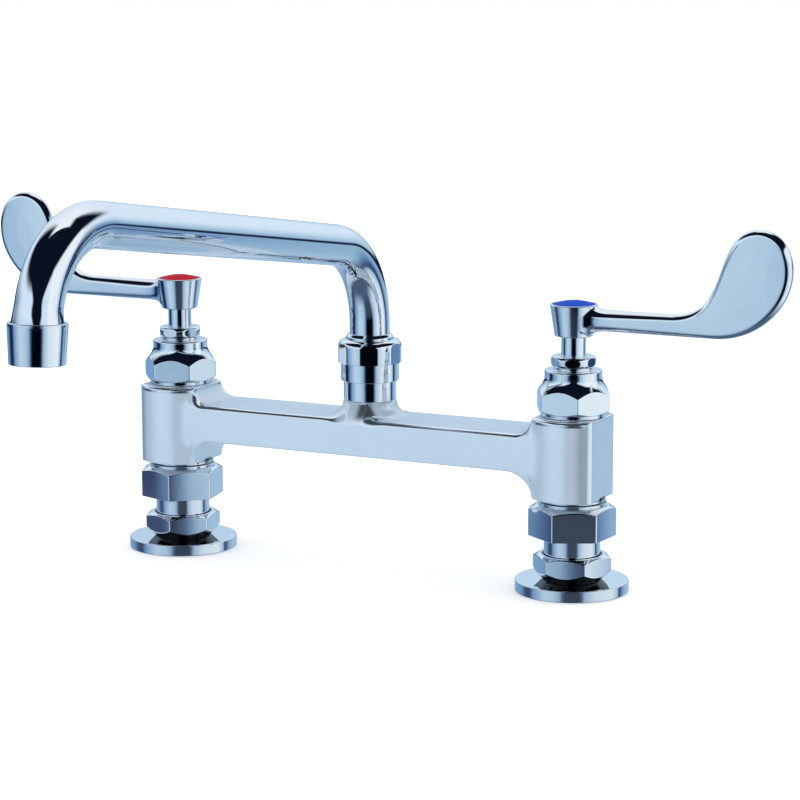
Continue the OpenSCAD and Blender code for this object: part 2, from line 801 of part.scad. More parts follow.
module swivel_adapter() {
    color(chrome_tone) difference() {
        union() {
            hole(adapter_spigot_d, adapter_z - adapter_spigot_l, adapter_spigot_l + bite);
            hole(adapter_neck_d, adapter_z, adapter_neck_h);
            hole(adapter_collar_d, adapter_neck_top, adapter_collar_h);
            hole(swivel_thread_d, swivel_nut_z - bite, adapter_top - swivel_nut_z + bite);
        }
        hole(adapter_bore_d, adapter_z - adapter_spigot_l - overrun,
            adapter_top - adapter_z + adapter_spigot_l);
        hole(swivel_bore_d, adapter_floor, adapter_top - adapter_floor + overrun);
    }
}

// Round nut with six small flats and a round shoulder
module swivel_nut() {
    r = swivel_nut_d / 2;
    shoulder = r - swivel_shoulder_r;
    color(chrome_tone) difference() {
        intersection() {
            translate([0, 0, swivel_nut_z]) rotate_extrude() union() {
                square([r, swivel_nut_h - swivel_shoulder_r]);
                square([shoulder, swivel_nut_h]);
                translate([shoulder, swivel_nut_h - swivel_shoulder_r]) intersection() {
                    circle(r = swivel_shoulder_r);
                    square(swivel_shoulder_r);
                }
            }
            translate([0, 0, swivel_nut_z]) rotate([0, 0, swivel_nut_turn])
                cylinder(r = swivel_nut_af / 2 * hex_corner_ratio, h = swivel_nut_h, $fn = hex_sides);
        }
        hole(swivel_thread_d + 2 * fit_gap, swivel_nut_z - overrun, swivel_nut_h - swivel_lip + overrun);
        hole(bush_show_d + 2 * fit_gap, swivel_nut_z, swivel_nut_h + overrun);
    }
}

// Brass bush on the foot of the tube: seals below, thrust flange, polished bead on top
module spout_bush() {
    run_d = swivel_bore_d - 2 * fit_gap;
    foot = adapter_floor + turn_gap;
    flange_z = adapter_top + turn_gap;
    bead_z = swivel_nut_top + bush_show_h - bush_bead;
    color(chrome_tone) difference() {
        union() {
            hole(run_d, foot, flange_z - foot + bite / 2);
            hole(bush_flange_d, flange_z, bush_flange_t);
            hole(bush_show_d, flange_z, bead_z - flange_z);
            translate([0, 0, bead_z])
                cylinder(d1 = bush_show_d, d2 = tube_d + 2 * fillet_lip + fit_gap, h = bush_bead);
        }
        hole(adapter_bore_d, foot - overrun, bush_socket_z - foot + 2 * overrun);
        hole(tube_d + fit_gap, bush_socket_z, riser_top - bush_socket_z);
        for (rise = spout_groove_rises)
            tube(swivel_bore_d + overrun, spout_groove_d, foot + rise, spout_groove_h);
    }
}

module spout_seals() {
    foot = adapter_floor + turn_gap;
    color(rubber_tone) for (rise = spout_groove_rises)
        translate([0, 0, foot + rise + spout_groove_h / 2]) rotate_extrude()
            translate([spout_groove_d / 2 + spout_seal_r + fit_gap / 2, 0])
                circle(r = spout_seal_r, $fn = 48);
}

// Spout

// A bar of the tube's path that starts upright at the height z and leans to the front
module bend(d, r, angle) {
    translate([0, -r, 0]) rotate([0, 90, 0]) rotate([0, 0, 90])
        rotate_extrude(angle = angle) translate([r, 0]) circle(d = d);
}

// A bar along the whole path of the spout, running past its foot by the given length.
// Its straight lengths are a hair thicker than its bends and lap them, so that they always join.
module spout_path(d, foot_run) {
    straight_d = d + tube_step;
    hole(straight_d, bush_socket_z - foot_run, riser_top - bush_socket_z + foot_run + tube_lap);
    translate([0, 0, riser_top]) bend(d, riser_bend_r, riser_bend_angle);
    translate([0, -run_start_y, run_start_z]) rotate([riser_bend_angle, 0, 0])
        hole(straight_d, -tube_lap, run_l + 2 * tube_lap);
    translate([0, -run_end_y, run_end_z]) rotate([riser_bend_angle, 0, 0])
        bend(d, outlet_bend_r, outlet_bend_angle);
}

// Frame at the end of the tube: z runs out of the mouth
module at_tube_end() {
    translate([0, -tube_end_y, tube_end_z]) rotate([180 - outlet_lean, 0, 0]) children();
}

// The last of the bend opens a little, to seat in the outlet collar
module tube_flare() {
    lean = outlet_bend_angle - flare_angle;
    chord = 2 * outlet_bend_r * sin(flare_angle / 2);
    intersection() {
        translate([0, -run_end_y, run_end_z]) rotate([riser_bend_angle, 0, 0])
            translate([0, -outlet_bend_r, 0]) rotate([lean, 0, 0]) translate([0, outlet_bend_r, 0])
                rotate([flare_angle / 2, 0, 0])
                    cylinder(d1 = tube_d - flare_sink, d2 = flare_d + flare_sink, h = chord + bite);
        at_tube_end() hole(flare_d, -chord - bite, chord + bite);
    }
    at_tube_end() hole(flare_d, -collar_lap, socket_l);
}

module spout_tube() {
    inner = tube_d - 2 * tube_wall;
    color(chrome_tone) difference() {
        union() {
            spout_path(tube_d, 0);
            tube_flare();
        }
        spout_path(inner, overrun);
        at_tube_end() hole(inner + tube_step, -tube_lap, socket_l + overrun);
    }
}

module outlet_collar() {
    color(chrome_tone) at_tube_end() translate([0, 0, -collar_lap]) difference() {
        cylinder(d1 = outlet_top_d, d2 = outlet_mouth_d, h = outlet_l);
        hole(flare_d + 2 * fit_gap, -overrun, socket_l + overrun);
        hole(straightener_d + 2 * fit_gap, 0, outlet_l - straightener_inset);
        hole(outlet_bore_d, 0, outlet_l + overrun);
    }
}

// Plastic insert with crossed vanes that calms the stream
module stream_straightener() {
    z = outlet_l - collar_lap - straightener_inset - straightener_l;
    vane_l = straightener_d - straightener_vane;
    color(plastic_tone) at_tube_end() union() {
        tube(straightener_d, straightener_d - 2 * straightener_vane, z, straightener_l);
        for (a = [0, 60, 120]) rotate([0, 0, a])
            translate([-vane_l / 2, -straightener_vane / 2, z])
                cube([vane_l, straightener_vane, straightener_l]);
    }
}

bridge_body();
deck_flange(hot);  // hot_deck_flange
deck_flange(cold);  // cold_deck_flange
inlet_shank(hot);  // hot_inlet_shank
inlet_shank(cold);  // cold_inlet_shank
lock_nut(hot);  // hot_lock_nut
lock_nut(cold);  // cold_lock_nut
coupling_washer(hot);  // hot_coupling_washer
coupling_washer(cold);  // cold_coupling_washer
coupling_nut(hot);  // hot_coupling_nut
coupling_nut(cold);  // cold_coupling_nut
tail_ring(hot);  // hot_tail_ring
tail_ring(cold);  // cold_tail_ring
bonnet_ring(hot);  // hot_bonnet_ring
bonnet_ring(cold);  // cold_bonnet_ring
bonnet(hot);  // hot_bonnet
bonnet(cold);  // cold_bonnet
seat_seal(hot);  // hot_seat_seal
seat_seal(cold);  // cold_seat_seal
fixed_disc(hot);  // hot_fixed_disc
fixed_disc(cold);  // cold_fixed_disc
turning_disc(hot);  // hot_turning_disc
turning_disc(cold);  // cold_turning_disc
spindle(hot);  // hot_spindle
spindle(cold);  // cold_spindle
spindle_seals(hot);  // hot_spindle_seals
spindle_seals(cold);  // cold_spindle_seals
packing(hot);  // hot_packing
packing(cold);  // cold_packing
packing_nut(hot);  // hot_packing_nut
packing_nut(cold);  // cold_packing_nut
handle(hot);  // hot_handle
handle(cold);  // cold_handle
handle_screw(hot);  // hot_handle_screw
handle_screw(cold);  // cold_handle_screw
index_button(hot);  // hot_index_button
index_button(cold);  // cold_index_button
adapter_washer();
swivel_adapter();
swivel_nut();
spout_bush();
spout_seals();
spout_tube();
outlet_collar();
stream_straightener();
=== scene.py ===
import json
import math
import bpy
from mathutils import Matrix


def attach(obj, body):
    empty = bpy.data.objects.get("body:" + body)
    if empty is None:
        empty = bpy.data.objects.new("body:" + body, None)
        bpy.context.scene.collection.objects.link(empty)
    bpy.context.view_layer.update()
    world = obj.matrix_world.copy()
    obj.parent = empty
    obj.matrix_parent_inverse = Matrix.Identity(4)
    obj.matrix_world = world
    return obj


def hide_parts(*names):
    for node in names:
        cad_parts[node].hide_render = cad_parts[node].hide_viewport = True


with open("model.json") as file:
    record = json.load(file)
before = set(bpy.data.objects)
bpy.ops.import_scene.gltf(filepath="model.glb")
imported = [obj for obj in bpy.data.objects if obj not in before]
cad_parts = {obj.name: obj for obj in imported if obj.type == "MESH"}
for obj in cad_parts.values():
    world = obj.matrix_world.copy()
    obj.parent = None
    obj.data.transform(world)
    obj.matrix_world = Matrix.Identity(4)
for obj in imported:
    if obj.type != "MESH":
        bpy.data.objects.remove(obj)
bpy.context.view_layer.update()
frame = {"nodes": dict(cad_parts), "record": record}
from types import SimpleNamespace
import bpy
import numpy as np
from mathutils import Matrix

print("stage: frame loaded")

# All surfaces below are worked out in millimetres, z up from the deck, and scaled on the way into Blender.
metresPerMm = 0.001
columnX = {"hot": -101.6, "cold": 101.6}
# the photograph's viewpoint, fitted to the faucet's edges; lens and sensor in mm
view = dict(azimuth=26.655, elevation=10.128, roll=-0.145, distance=1.25584, target=(0.015465, 0.0, 0.079773),
            lens=123.15, sensor=36.0, clipEnd=20.0)


# Materials

def linear(hexColour):
    # sRGB to linear: c / 12.92 near black, otherwise ((c + 0.055) / 1.055) to the power 2.4
    c = np.array([int(hexColour[i:i + 2], 16) for i in (1, 3, 5)]) / 255
    return [*np.where(c <= 0.04045, c / 12.92, ((c + 0.055) / 1.055) ** 2.4), 1.0]


def addNode(tree, kind, settings=None, inputs=None):
    # one node, its settings, and its sockets set or linked; a node given as input means its first output
    node = tree.nodes.new("ShaderNode" + kind)
    for key, value in (settings or {}).items():
        setattr(node, key, value)
    for key, value in (inputs or {}).items():
        if isinstance(value, bpy.types.Node):
            value = value.outputs[0]
        if isinstance(value, bpy.types.NodeSocket):
            tree.links.new(value, node.inputs[key])
        else:
            node.inputs[key].default_value = value
    return node


def maths(tree, operation, *values, clamp=False):
    return addNode(tree, "Math", {"operation": operation, "use_clamp": clamp}, dict(enumerate(values)))


def mapRange(tree, value, low, high, atLow=0.0, atHigh=1.0, smooth=False):
    # from atLow at low to atHigh at high, straight or smooth
    return addNode(tree, "MapRange", {"interpolation_type": "SMOOTHSTEP" if smooth else "LINEAR"}, {
        "Value": value, "From Min": low, "From Max": high, "To Min": atLow, "To Max": atHigh})


def mixColour(tree, share, first, second):
    return addNode(tree, "Mix", {"data_type": "RGBA"}, {0: share, 6: first, 7: second}).outputs[2]


def newObject(name, data):
    made = bpy.data.objects.new(name, data)
    bpy.context.scene.collection.objects.link(made)
    return made


def newMaterial(name):
    material = bpy.data.materials.new(name)
    material.use_nodes = True
    tree = material.node_tree
    tree.nodes.clear()
    return material, tree


def setRamp(node, stops):
    # stops: (position, hex colour) in rising order
    ramp = node.color_ramp
    while len(ramp.elements) > 1:
        ramp.elements.remove(ramp.elements[0])
    ramp.elements[0].position = stops[0][0]
    ramp.elements[0].color = linear(stops[0][1])
    for place, colour in stops[1:]:
        ramp.elements.new(place).color = linear(colour)


def surfaceOutput(tree, shader):
    addNode(tree, "OutputMaterial", inputs={"Surface": shader})


noiseSpan = (0.3, 0.7)  # nearly all of the noise lies between these
paintedShadeTone = 0.1  # share of its tone that painted shade keeps


def mottled(tree, colour, spread, scaleMm, roughness, roughSpread, metallic=0.0, bumpMm=0.0, specular=0.5,
            mirror=None):
    # Principled surface whose tone and roughness wander a little, in patches scaleMm wide. Where vertices are
    # marked with painted shade, the tone falls to its set share of itself: darkening painted into grooves and
    # hollows, and a painted dark reflection on the casting. mirror mixes in a mirror by its share, and by more
    # where they are marked as buffed.
    place = addNode(tree, "TexCoord")
    patches = addNode(tree, "TexNoise", inputs={
        "Vector": place.outputs["Object"], "Scale": 1 / (scaleMm * metresPerMm), "Detail": 3.0})
    # the mark of painted shade, read per vertex
    paintedShade = addNode(tree, "Attribute", {"attribute_name": "paintedShade"}).outputs["Fac"]
    tone = maths(tree, "MULTIPLY", mapRange(tree, patches, *noiseSpan, 1 - spread, 1.0),
                 mapRange(tree, paintedShade, 0.0, 1.0, 1.0, paintedShadeTone))
    base = addNode(tree, "VectorMath", {"operation": "SCALE"}, {0: linear(colour)[:3], "Scale": tone})
    settings = {"Base Color": base, "Metallic": metallic, "Specular IOR Level": specular,
                "Roughness": mapRange(tree, patches, *noiseSpan, roughness, roughness + roughSpread)}
    if bumpMm:
        settings["Normal"] = addNode(tree, "Bump", inputs={
            "Height": patches, "Distance": bumpMm * metresPerMm})
    surface = addNode(tree, "BsdfPrincipled", inputs=settings)
    if mirror is None:
        return surface
    bright = addNode(tree, "BsdfPrincipled", inputs={
        **settings, "Base Color": linear(mirror["colour"]), "Roughness": mirror["roughness"], "Metallic": 1.0})
    buffed = addNode(tree, "Attribute", {"attribute_name": "buffed"}).outputs["Fac"]
    share = mapRange(tree, buffed, 0.0, 1.0, mirror["share"], mirror["buffedShare"])
    return addNode(tree, "MixShader", inputs={0: share, 1: surface, 2: bright})


finishes = {
    # chromium over polished brass: a mirror with a cold tint
    "chrome": dict(colour="#f0f4f8", spread=0.03, scaleMm=11, roughness=0.03, roughSpread=0.025, metallic=1.0,
                   bumpMm=0.035),
    # the same plating over the sand-cast body, buffed less: an even satin with a faint soft mirror in it, and
    # a stronger one along the edges where the wheel has pressed harder. The satin is not metal: its light
    # steel-blue colour is a painted reflection of the studio's blue surroundings
    "castChromePaintedReflection": dict(colour="#b8cde0", spread=0.03, scaleMm=22, roughness=0.5, roughSpread=0.06, bumpMm=0.04,
                       mirror=dict(colour="#f0f4f8", roughness=0.14, share=0.25, buffedShare=0.92)),
    # turned brass: warm and duller, for the screws hidden under the buttons
    "brass": dict(colour="#c9a65a", spread=0.12, scaleMm=3, roughness=0.24, roughSpread=0.1, metallic=1.0),
    # moulded rubber: nearly black and matt
    "rubber": dict(colour="#202226", spread=0.2, scaleMm=2, roughness=0.6, roughSpread=0.15, bumpMm=0.02),
    # acetal of the packing and of the vanes in the mouth: milky
    "acetal": dict(colour="#dfe1dc", spread=0.06, scaleMm=4, roughness=0.4, roughSpread=0.1),
    # lapped alumina discs: off-white, with a faint grain
    "ceramic": dict(colour="#ece8dd", spread=0.05, scaleMm=1.5, roughness=0.22, roughSpread=0.08),
}
# moulded index buttons, red for hot and blue for cold: a deep even colour with hardly any gloss
for finishName, buttonColour in (("hotIndex", "#b80f2c"), ("coldIndex", "#1b4dc2")):
    finishes[finishName] = dict(colour=buttonColour, spread=0.16, scaleMm=5, roughness=0.45, roughSpread=0.1,
                                bumpMm=0.03, specular=0.03)
materials = {}
for finishName, finish in finishes.items():
    materials[finishName], finishTree = newMaterial(finishName)
    surfaceOutput(finishTree, mottled(finishTree, **finish))
slotMaterials = {"chrome": "chrome", "spindle": "brass", "seal": "rubber", "packing": "acetal",
                 "disc": "ceramic", "hot_index": "hotIndex", "cold_index": "coldIndex"}
print("stage: materials")


# Surfaces

def gridFaces(rows, columns, closedRows=False):
    # the point numbers of a grid that closes across, and its quads
    index = np.arange(rows * columns).reshape(rows, columns)
    down = np.concatenate([index, index[:1]]) if closedRows else index
    grid = np.concatenate([down, down[:, :1]], axis=1)
    return grid, np.stack([grid[:-1, :-1], grid[:-1, 1:], grid[1:, 1:], grid[1:, :-1]], axis=-1).reshape(-1, 4)


def makePiece(name, points, replaces=(), body="faucet_body", slotName="chrome", poles=(), material=None,
              marks=None):
    # A grid of points (rows, columns, 3) in mm becomes one smooth mesh, closed by a pole at each end or with
    # its last row joined to its first. marks: a value for each point, by attribute; a pole gets its row's mean.
    vertices = points.reshape(-1, 3)
    grid, quads = gridFaces(*points.shape[:2], closedRows=not poles)
    triangles = np.zeros((0, 3), int)
    for pole, ring in zip(poles, (grid[0][::-1], grid[-1])):
        vertices = np.concatenate([vertices, [pole]])
        middle = np.full(len(ring) - 1, len(vertices) - 1)
        triangles = np.concatenate([triangles, np.stack([ring[:-1], ring[1:], middle], axis=-1)])
    split = np.concatenate([quads[:, [0, 1, 2]], quads[:, [0, 2, 3]], triangles])
    a, b, c = (vertices[split[:, k]] for k in range(3))
    if np.einsum("ij,ij->i", a, np.cross(b, c)).sum() < 0:  # turned so that the enclosed volume is positive
        quads, triangles = quads[:, ::-1], triangles[:, ::-1]
    mesh = bpy.data.meshes.new(name)
    mesh.from_pydata((vertices * metresPerMm).tolist(), [], quads.tolist() + triangles.tolist())
    mesh.shade_smooth()
    for mark, values in (marks or {}).items():
        atPoles = [values[0].mean(), values[-1].mean()] if poles else []
        values = np.concatenate([values.ravel(), atPoles])
        mesh.attributes.new(mark, "FLOAT", "POINT").data.foreach_set("value", values.astype(np.float32))
    piece = newObject(name, mesh)
    mesh.materials.append(materials[material or slotMaterials[slotName]])
    if replaces:
        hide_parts(*replaces)
    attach(piece, body)


def stacked(*parts):
    return np.stack(parts, axis=-1)


def smoothStep(low, high, value):
    # 3t^2 - 2t^3 between low and high
    t = np.clip((value - low) / (high - low), 0, 1)
    return t * t * (3 - 2 * t)


def bentOver(start, corner, stop, t):
    # from start to stop round a corner: start (1 - t)^2 + 2 corner t (1 - t) + stop t^2
    return start * (1 - t) ** 2 + 2 * corner * t * (1 - t) + stop * t ** 2


def cubic(a, b, c, d, steps):
    # a (1 - t)^3 + 3 b t (1 - t)^2 + 3 c t^2 (1 - t) + d t^3
    t = np.linspace(0, 1, steps)[:, None]
    a, b, c, d = (np.asarray(p, float) for p in (a, b, c, d))
    return a * (1 - t) ** 3 + b * 3 * t * (1 - t) ** 2 + c * 3 * t ** 2 * (1 - t) + d * t ** 3


def softMax(a, b, blend):
    # the larger of a and b, rounded over where they differ by less than blend: max + h^2 * blend / 4
    h = np.clip(blend - np.abs(a - b), 0, None) / blend
    return np.maximum(a, b) + h * h * blend / 4


def softMin(a, b, blend):
    return -softMax(-a, -b, blend)


# corners of a profile: points on the curve, the largest share of a side that a cut takes, and how far past
# the curve, by its cut, one more row keeps the side's shading flat
rounding = dict(steps=5, largest=0.42, beyond=0.1)


def roundCorners(radius, height, cuts, closed):
    # Each corner of a profile becomes a curve between two points at its cut's distance on either side.
    # radius and height are (corners, columns).
    at = stacked(radius, height)
    count = len(at)
    t = np.linspace(0, 1, rounding["steps"])[:, None, None]
    rows = []
    for i in range(count):
        isEnd = not closed and i in (0, count - 1)
        if isEnd or not np.any(cuts[i]):
            rows.append(at[i][None])
            continue
        before, after = at[i - 1] - at[i], at[(i + 1) % count] - at[i]
        lengthBefore = np.linalg.norm(before, axis=-1, keepdims=True)
        lengthAfter = np.linalg.norm(after, axis=-1, keepdims=True)
        cut = np.minimum(cuts[i], rounding["largest"] * np.minimum(lengthBefore, lengthAfter))
        before, after = before / lengthBefore * cut, after / lengthAfter * cut
        start, stop = at[i] + before, at[i] + after
        rows += [(start + before * rounding["beyond"])[None], bentOver(start, at[i], stop, t),
                 (stop + after * rounding["beyond"])[None]]
    return np.concatenate(rows)


def fullTurn(count):
    return np.linspace(0, 2 * np.pi, count, endpoint=False)


def around(profile, angles, x=0.0):
    # rows of (radius, height) turned about an upright axis at x: (x + r cos a, r sin a, z)
    r, z = profile[..., 0], profile[..., 1]
    return stacked(x + r * np.cos(angles), r * np.sin(angles), z)


def lathe(name, profile, x, replaces=(), body="faucet_body", slotName="chrome", columns=192, place=None,
          paintedShade=None):
    # profile: (radius, height, corner cut) in mm, turned about an upright axis at x.
    # One that starts on the axis ends there too, at a second pole. place moves a hollow one from the upright.
    angles = fullTurn(columns)
    r, z, cuts = (np.array(v, float) for v in zip(*profile))
    wide, solid = np.ones(columns), r[0] == 0
    rows = roundCorners(r[:, None] * wide, z[:, None] * wide, cuts, closed=not solid)
    poles = [np.array([x, 0, z[0]]), np.array([x, 0, z[-1]])] if solid else []
    rows = rows[1:-1] if solid else rows
    points = around(rows, angles, x)
    makePiece(name, place(points) if place else points, replaces, body, slotName, poles=poles,
              marks={"paintedShade": paintedShade(rows)} if paintedShade else None)


def hexColumns(flats, edge, turnDegrees, crown=0.0):
    # Angles and radii round a hexagon whose corners are rounded by the radius edge: a face stands out by
    # crown * (1 - (place along it)^2) over its ends, and at a corner the point goes round its circle.
    a = flats / 2
    along = np.linspace(-1, 1, 14)
    face = stacked(a + crown * (1 - along ** 2), along * (a - edge) * math.tan(math.pi / 6))
    nearCorner = np.radians(np.linspace(0, 60, 9)[1:-1])
    reach = (a - edge) / math.cos(math.pi / 6)
    corner = stacked(reach * math.cos(math.pi / 6) + edge * np.cos(nearCorner),
                     reach * math.sin(math.pi / 6) + edge * np.sin(nearCorner))
    sector = np.concatenate([face, corner])
    turns = np.radians(turnDegrees + 30 + 60 * np.arange(6))
    return (turns[:, None] + np.arctan2(sector[:, 1], sector[:, 0])).ravel(), np.tile(np.hypot(*sector.T), 6)


def hexPiece(name, x, columns, corners, replaces, paintedShade=None):
    # corners: (radius, height, cut) of a closed profile, as numbers or with one value for each column
    angles, hexRadius = columns
    r, z = (np.array([corner[k] + 0 * hexRadius for corner in corners]) for k in (0, 1))
    rows = roundCorners(r, z, [corner[2] for corner in corners], closed=True)
    makePiece(name, around(rows, angles, x), replaces, marks={"paintedShade": paintedShade(rows)} if paintedShade else None)


def flattedNut(name, x, before, outside, after, flats, turnDegrees, blend, columns, replaces):
    # A turned profile with six flats cut into its outside rows: the smaller of the two radii, rounded over by
    # blend. All rows are (radius, height).
    angles = fullTurn(columns)
    fromFlat = (np.degrees(angles) - turnDegrees) % 60 - 30
    flat = flats / 2 / np.cos(np.radians(fromFlat))
    profile = np.concatenate([before, outside, after])[:, None] + np.zeros((columns, 1))
    cut = slice(len(before), len(before) + len(outside))
    profile[cut, :, 0] = softMin(profile[cut, :, 0], flat, blend)
    makePiece(name, around(profile, angles, x), replaces)


grooveShade = 0.8  # strength of the painted shade in the narrow grooves between rings


# Feet: flange, shank, two nuts and the rings under each column

feet = dict(
    flangeRadius=25.6, flangeHeight=5.0, flangeEdge=0.5, inletRadius=9.1, inletDepth=14.0, waterway=7.0,
    threadRadius=12.0, threadTop=16.35, shankRadius=12.7, collarRadius=13.6, collarFoot=28.25, collarTop=31.05,
    # of both nuts: radius of the upright corners, bulge of the faces, slope of the chamfers
    edge=1.0, crown=0.25, slope=math.tan(math.radians(30)),
    lockFlats=31.2, lockFoot=5.0, lockFootRadius=13.0, lockTop=16.8, lockFace=15.1, lockBore=12.05,
    lockTurns={"hot": 40, "cold": 12}, grooveRadius=13.6, grooveDepth=0.9,
    couplingFlats=34.5, couplingFoot=25.0, couplingTop=39.4, couplingFace=16.2, couplingBore=12.75,
    couplingSeat=28.2, couplingTurns={"hot": 42, "cold": 26},
    ringBore=14.05, tailRadius=15.4, tailTop=40.9,
    spigotRadius=14.0, spigotFoot=32.55, neckRadius=14.9, neckFoot=41.05, neckFull=41.6, neckTop=42.8)


def makeFeet(side):
    # turned profiles, and nuts whose radius at each angle is the hexagon's: (x + R cos a, R sin a, z)
    x, f = columnX[side], SimpleNamespace(**feet)
    lathe(side + "Flange", [
        (f.lockBore, 0, 0.2), (f.flangeRadius, 0, 0.3), (f.flangeRadius, f.flangeHeight, f.flangeEdge),
        (f.lockBore, f.flangeHeight, 0.2)], x, [side + "_deck_flange"], columns=256)
    lathe(side + "Shank", [
        (f.inletRadius, 0, 0.3), (f.threadRadius, 0, 0.3), (f.threadRadius, f.threadTop, 0.1),
        (f.shankRadius, f.threadTop, 0.1), (f.shankRadius, f.collarFoot, 0.1),
        (f.collarRadius, f.collarFoot, 0.1), (f.collarRadius, f.collarTop, 0.2), (f.waterway, f.collarTop, 0.2),
        (f.waterway, f.inletDepth, 0.2), (f.inletRadius, f.inletDepth, 0.2)], x, [side + "_inlet_shank"])

    columns = hexColumns(f.lockFlats, f.edge, f.lockTurns[side], f.crown)
    lockR = columns[1]
    topR = np.minimum(f.lockFace, lockR - 0.3)

    def lockPaintedShade(rows):
        # painted shade on the sloping foot under the faces, and in the groove round the shank on top
        under = smoothStep(0.15, -0.15, rows[..., 1] - f.lockFoot - (lockR - f.lockFootRadius))
        groove = smoothStep(0.12, -0.08, rows[..., 0] - f.grooveRadius) * (rows[..., 1] > f.lockTop - 1.5)
        return np.maximum(under, groove)

    hexPiece(side + "LockNut", x, columns, [
        (f.lockBore, f.lockFoot, 0.2), (f.lockFootRadius, f.lockFoot, 0.3),
        (lockR, f.lockFoot + (lockR - f.lockFootRadius), 0.45),
        (lockR, f.lockTop - 0.1 - (lockR - topR) * f.slope, 0.35), (topR, f.lockTop, 0.4),
        (f.grooveRadius, f.lockTop, 0.12), (f.grooveRadius, f.lockTop - f.grooveDepth, 0.1),
        (f.lockBore, f.lockTop - f.grooveDepth, 0.1)], [side + "_lock_nut"], lockPaintedShade)
    columns = hexColumns(f.couplingFlats, f.edge, f.couplingTurns[side], f.crown)
    couplingR = columns[1]
    topR = np.minimum(f.couplingFace, couplingR - 0.3)
    hexPiece(side + "CouplingNut", x, columns, [
        (f.couplingBore, f.couplingFoot, 0.2), (couplingR, f.couplingFoot, 0.3),
        (couplingR, f.couplingTop - 0.1 - (couplingR - topR) * f.slope, 0.4), (topR, f.couplingTop, 0.4),
        (f.ringBore, f.couplingTop, 0.1), (f.ringBore, f.couplingSeat, 0.2),
        (f.couplingBore, f.couplingSeat, 0.1)], [side + "_coupling_nut"])
    lathe(side + "TailRing", [
        (f.ringBore, f.couplingTop, 0.1), (f.tailRadius, f.couplingTop, 0.3), (f.tailRadius, f.tailTop, 0.35),
        (f.ringBore, f.tailTop, 0.1)], x, [side + "_tail_ring"])

    def neckPaintedShade(rows):
        # painted shade in the grooves under and over the neck
        up = rows[..., 1]
        under, over = smoothStep(f.neckFull, f.neckFull - 0.2, up), smoothStep(42.2, 42.45, up)
        return grooveShade * np.maximum(under, over)

    lathe(side + "ColumnNeck", [
        (f.waterway, f.spigotFoot, 0.2), (f.spigotRadius, f.spigotFoot, 0.3),
        (f.spigotRadius, f.neckFoot, 0.05), (f.neckRadius - 0.3, f.neckFoot, 0.1),
        (f.neckRadius, f.neckFull, 0.2), (f.neckRadius, 42.3, 0.1), (f.neckRadius, f.neckTop + 1, 0.2),
        (f.waterway, f.neckTop + 1, 0.2)], x, paintedShade=neckPaintedShade)


# Body: two columns, a bridge and a boss as one casting

casting = dict(
    columnRadius=19.4, flatOut=14.5, foot=42.8, top=79.6, barFront=16.5, barFoot=54.8, barTop=71.8,
    upperFillet=7.8, lowerFillet=12.0, bossRadius=12.15, bossFillet=7.7,
    # the lip that a fillet ends in, how early the lip starts, and the round edges of the flat end
    upperLip=1.0, upperLead=0.064, upperEnd=1.1, lowerLip=0.6, lowerLead=0.015, lowerEnd=0.6, corner=0.9,
    # soft edges, and what is added to them at the boss and the fillets
    topEdge=1.5, topEdgeAtBoss=2.8, topEdgeAtFillet=0.6, footEdge=0.7, footEdgeAtFillet=0.9,
    # buffing of the flat ends, loss of it on the boss's hot half, and the painted dark reflection beside the
    # flat ends
    endBuff=0.6, bossSatin=0.92, turnedOff=0.68,
    topSamples=13, bendSamples=6, frontSamples=72)


innerX, outerX = columnX["cold"] - casting["flatOut"], columnX["cold"] + casting["flatOut"]


def filletRise(distance, fillet):
    # rise of a hollow quarter circle over its foot: r - sqrt(r^2 - d^2)
    d = np.clip(distance, 0, fillet)
    return fillet - np.sqrt(fillet * fillet - d * d)


def cornerRise(x, height, fillet, lip, lead):
    # rise from the bar to the column: a hollow fillet, then a lip of sqrt(lip^2 - (lip - d)^2)
    over = np.clip(x - innerX + lead, 0, lip)
    return (np.minimum(filletRise(x - (innerX - fillet), fillet), height - lip)
            + np.sqrt(np.clip(lip ** 2 - (lip - over) ** 2, 0, None)))


def endDrop(x, radius):
    # how far a round edge has fallen at the distance d before the flat end: r - sqrt(r^2 - (r - d)^2)
    into = np.clip(x - (outerX - radius), 0, radius)
    return radius - np.sqrt(np.clip(radius ** 2 - into ** 2, 0, None))


def castingFront(x, z):
    # depth of the front face at |x| and z: the column's circle, running into the bar where the bar stands
    c = SimpleNamespace(**casting)
    circle = np.sqrt(np.clip(c.columnRadius ** 2 - (x - columnX["cold"]) ** 2, 1, None))
    column = np.where(x >= innerX, circle, math.sqrt(c.columnRadius ** 2 - c.flatOut ** 2))
    bar = np.where(x < columnX["cold"], softMax(circle, c.barFront, 1.6), circle)
    above = smoothStep(c.barTop - 2.5, c.top, z)
    below = smoothStep(c.barFoot + 2.5, c.foot + 0.8, z)
    away = np.clip(above + below, 0, 1)
    return bar * (1 - away) + column * away - endDrop(x, c.corner)


def castingTop(x, y):
    # height of the top face: bar, hollow corners to the columns, and the spread of the boss
    c = SimpleNamespace(**casting)
    rise = cornerRise(x, c.top - c.barTop, c.upperFillet, c.upperLip, c.upperLead)
    boss = filletRise(c.bossRadius + c.bossFillet - np.hypot(x, y), c.bossFillet)
    return np.minimum(c.barTop + rise, c.top) - endDrop(x, c.upperEnd) + boss


def castingFoot(x):
    # height of the underside: bar, and the larger hollow corners to the columns
    c = SimpleNamespace(**casting)
    height = c.barFoot - c.foot
    rise = cornerRise(x, height, c.lowerFillet, c.lowerLip, c.lowerLead)
    return c.barFoot - np.minimum(rise, height) + endDrop(x, c.lowerEnd)


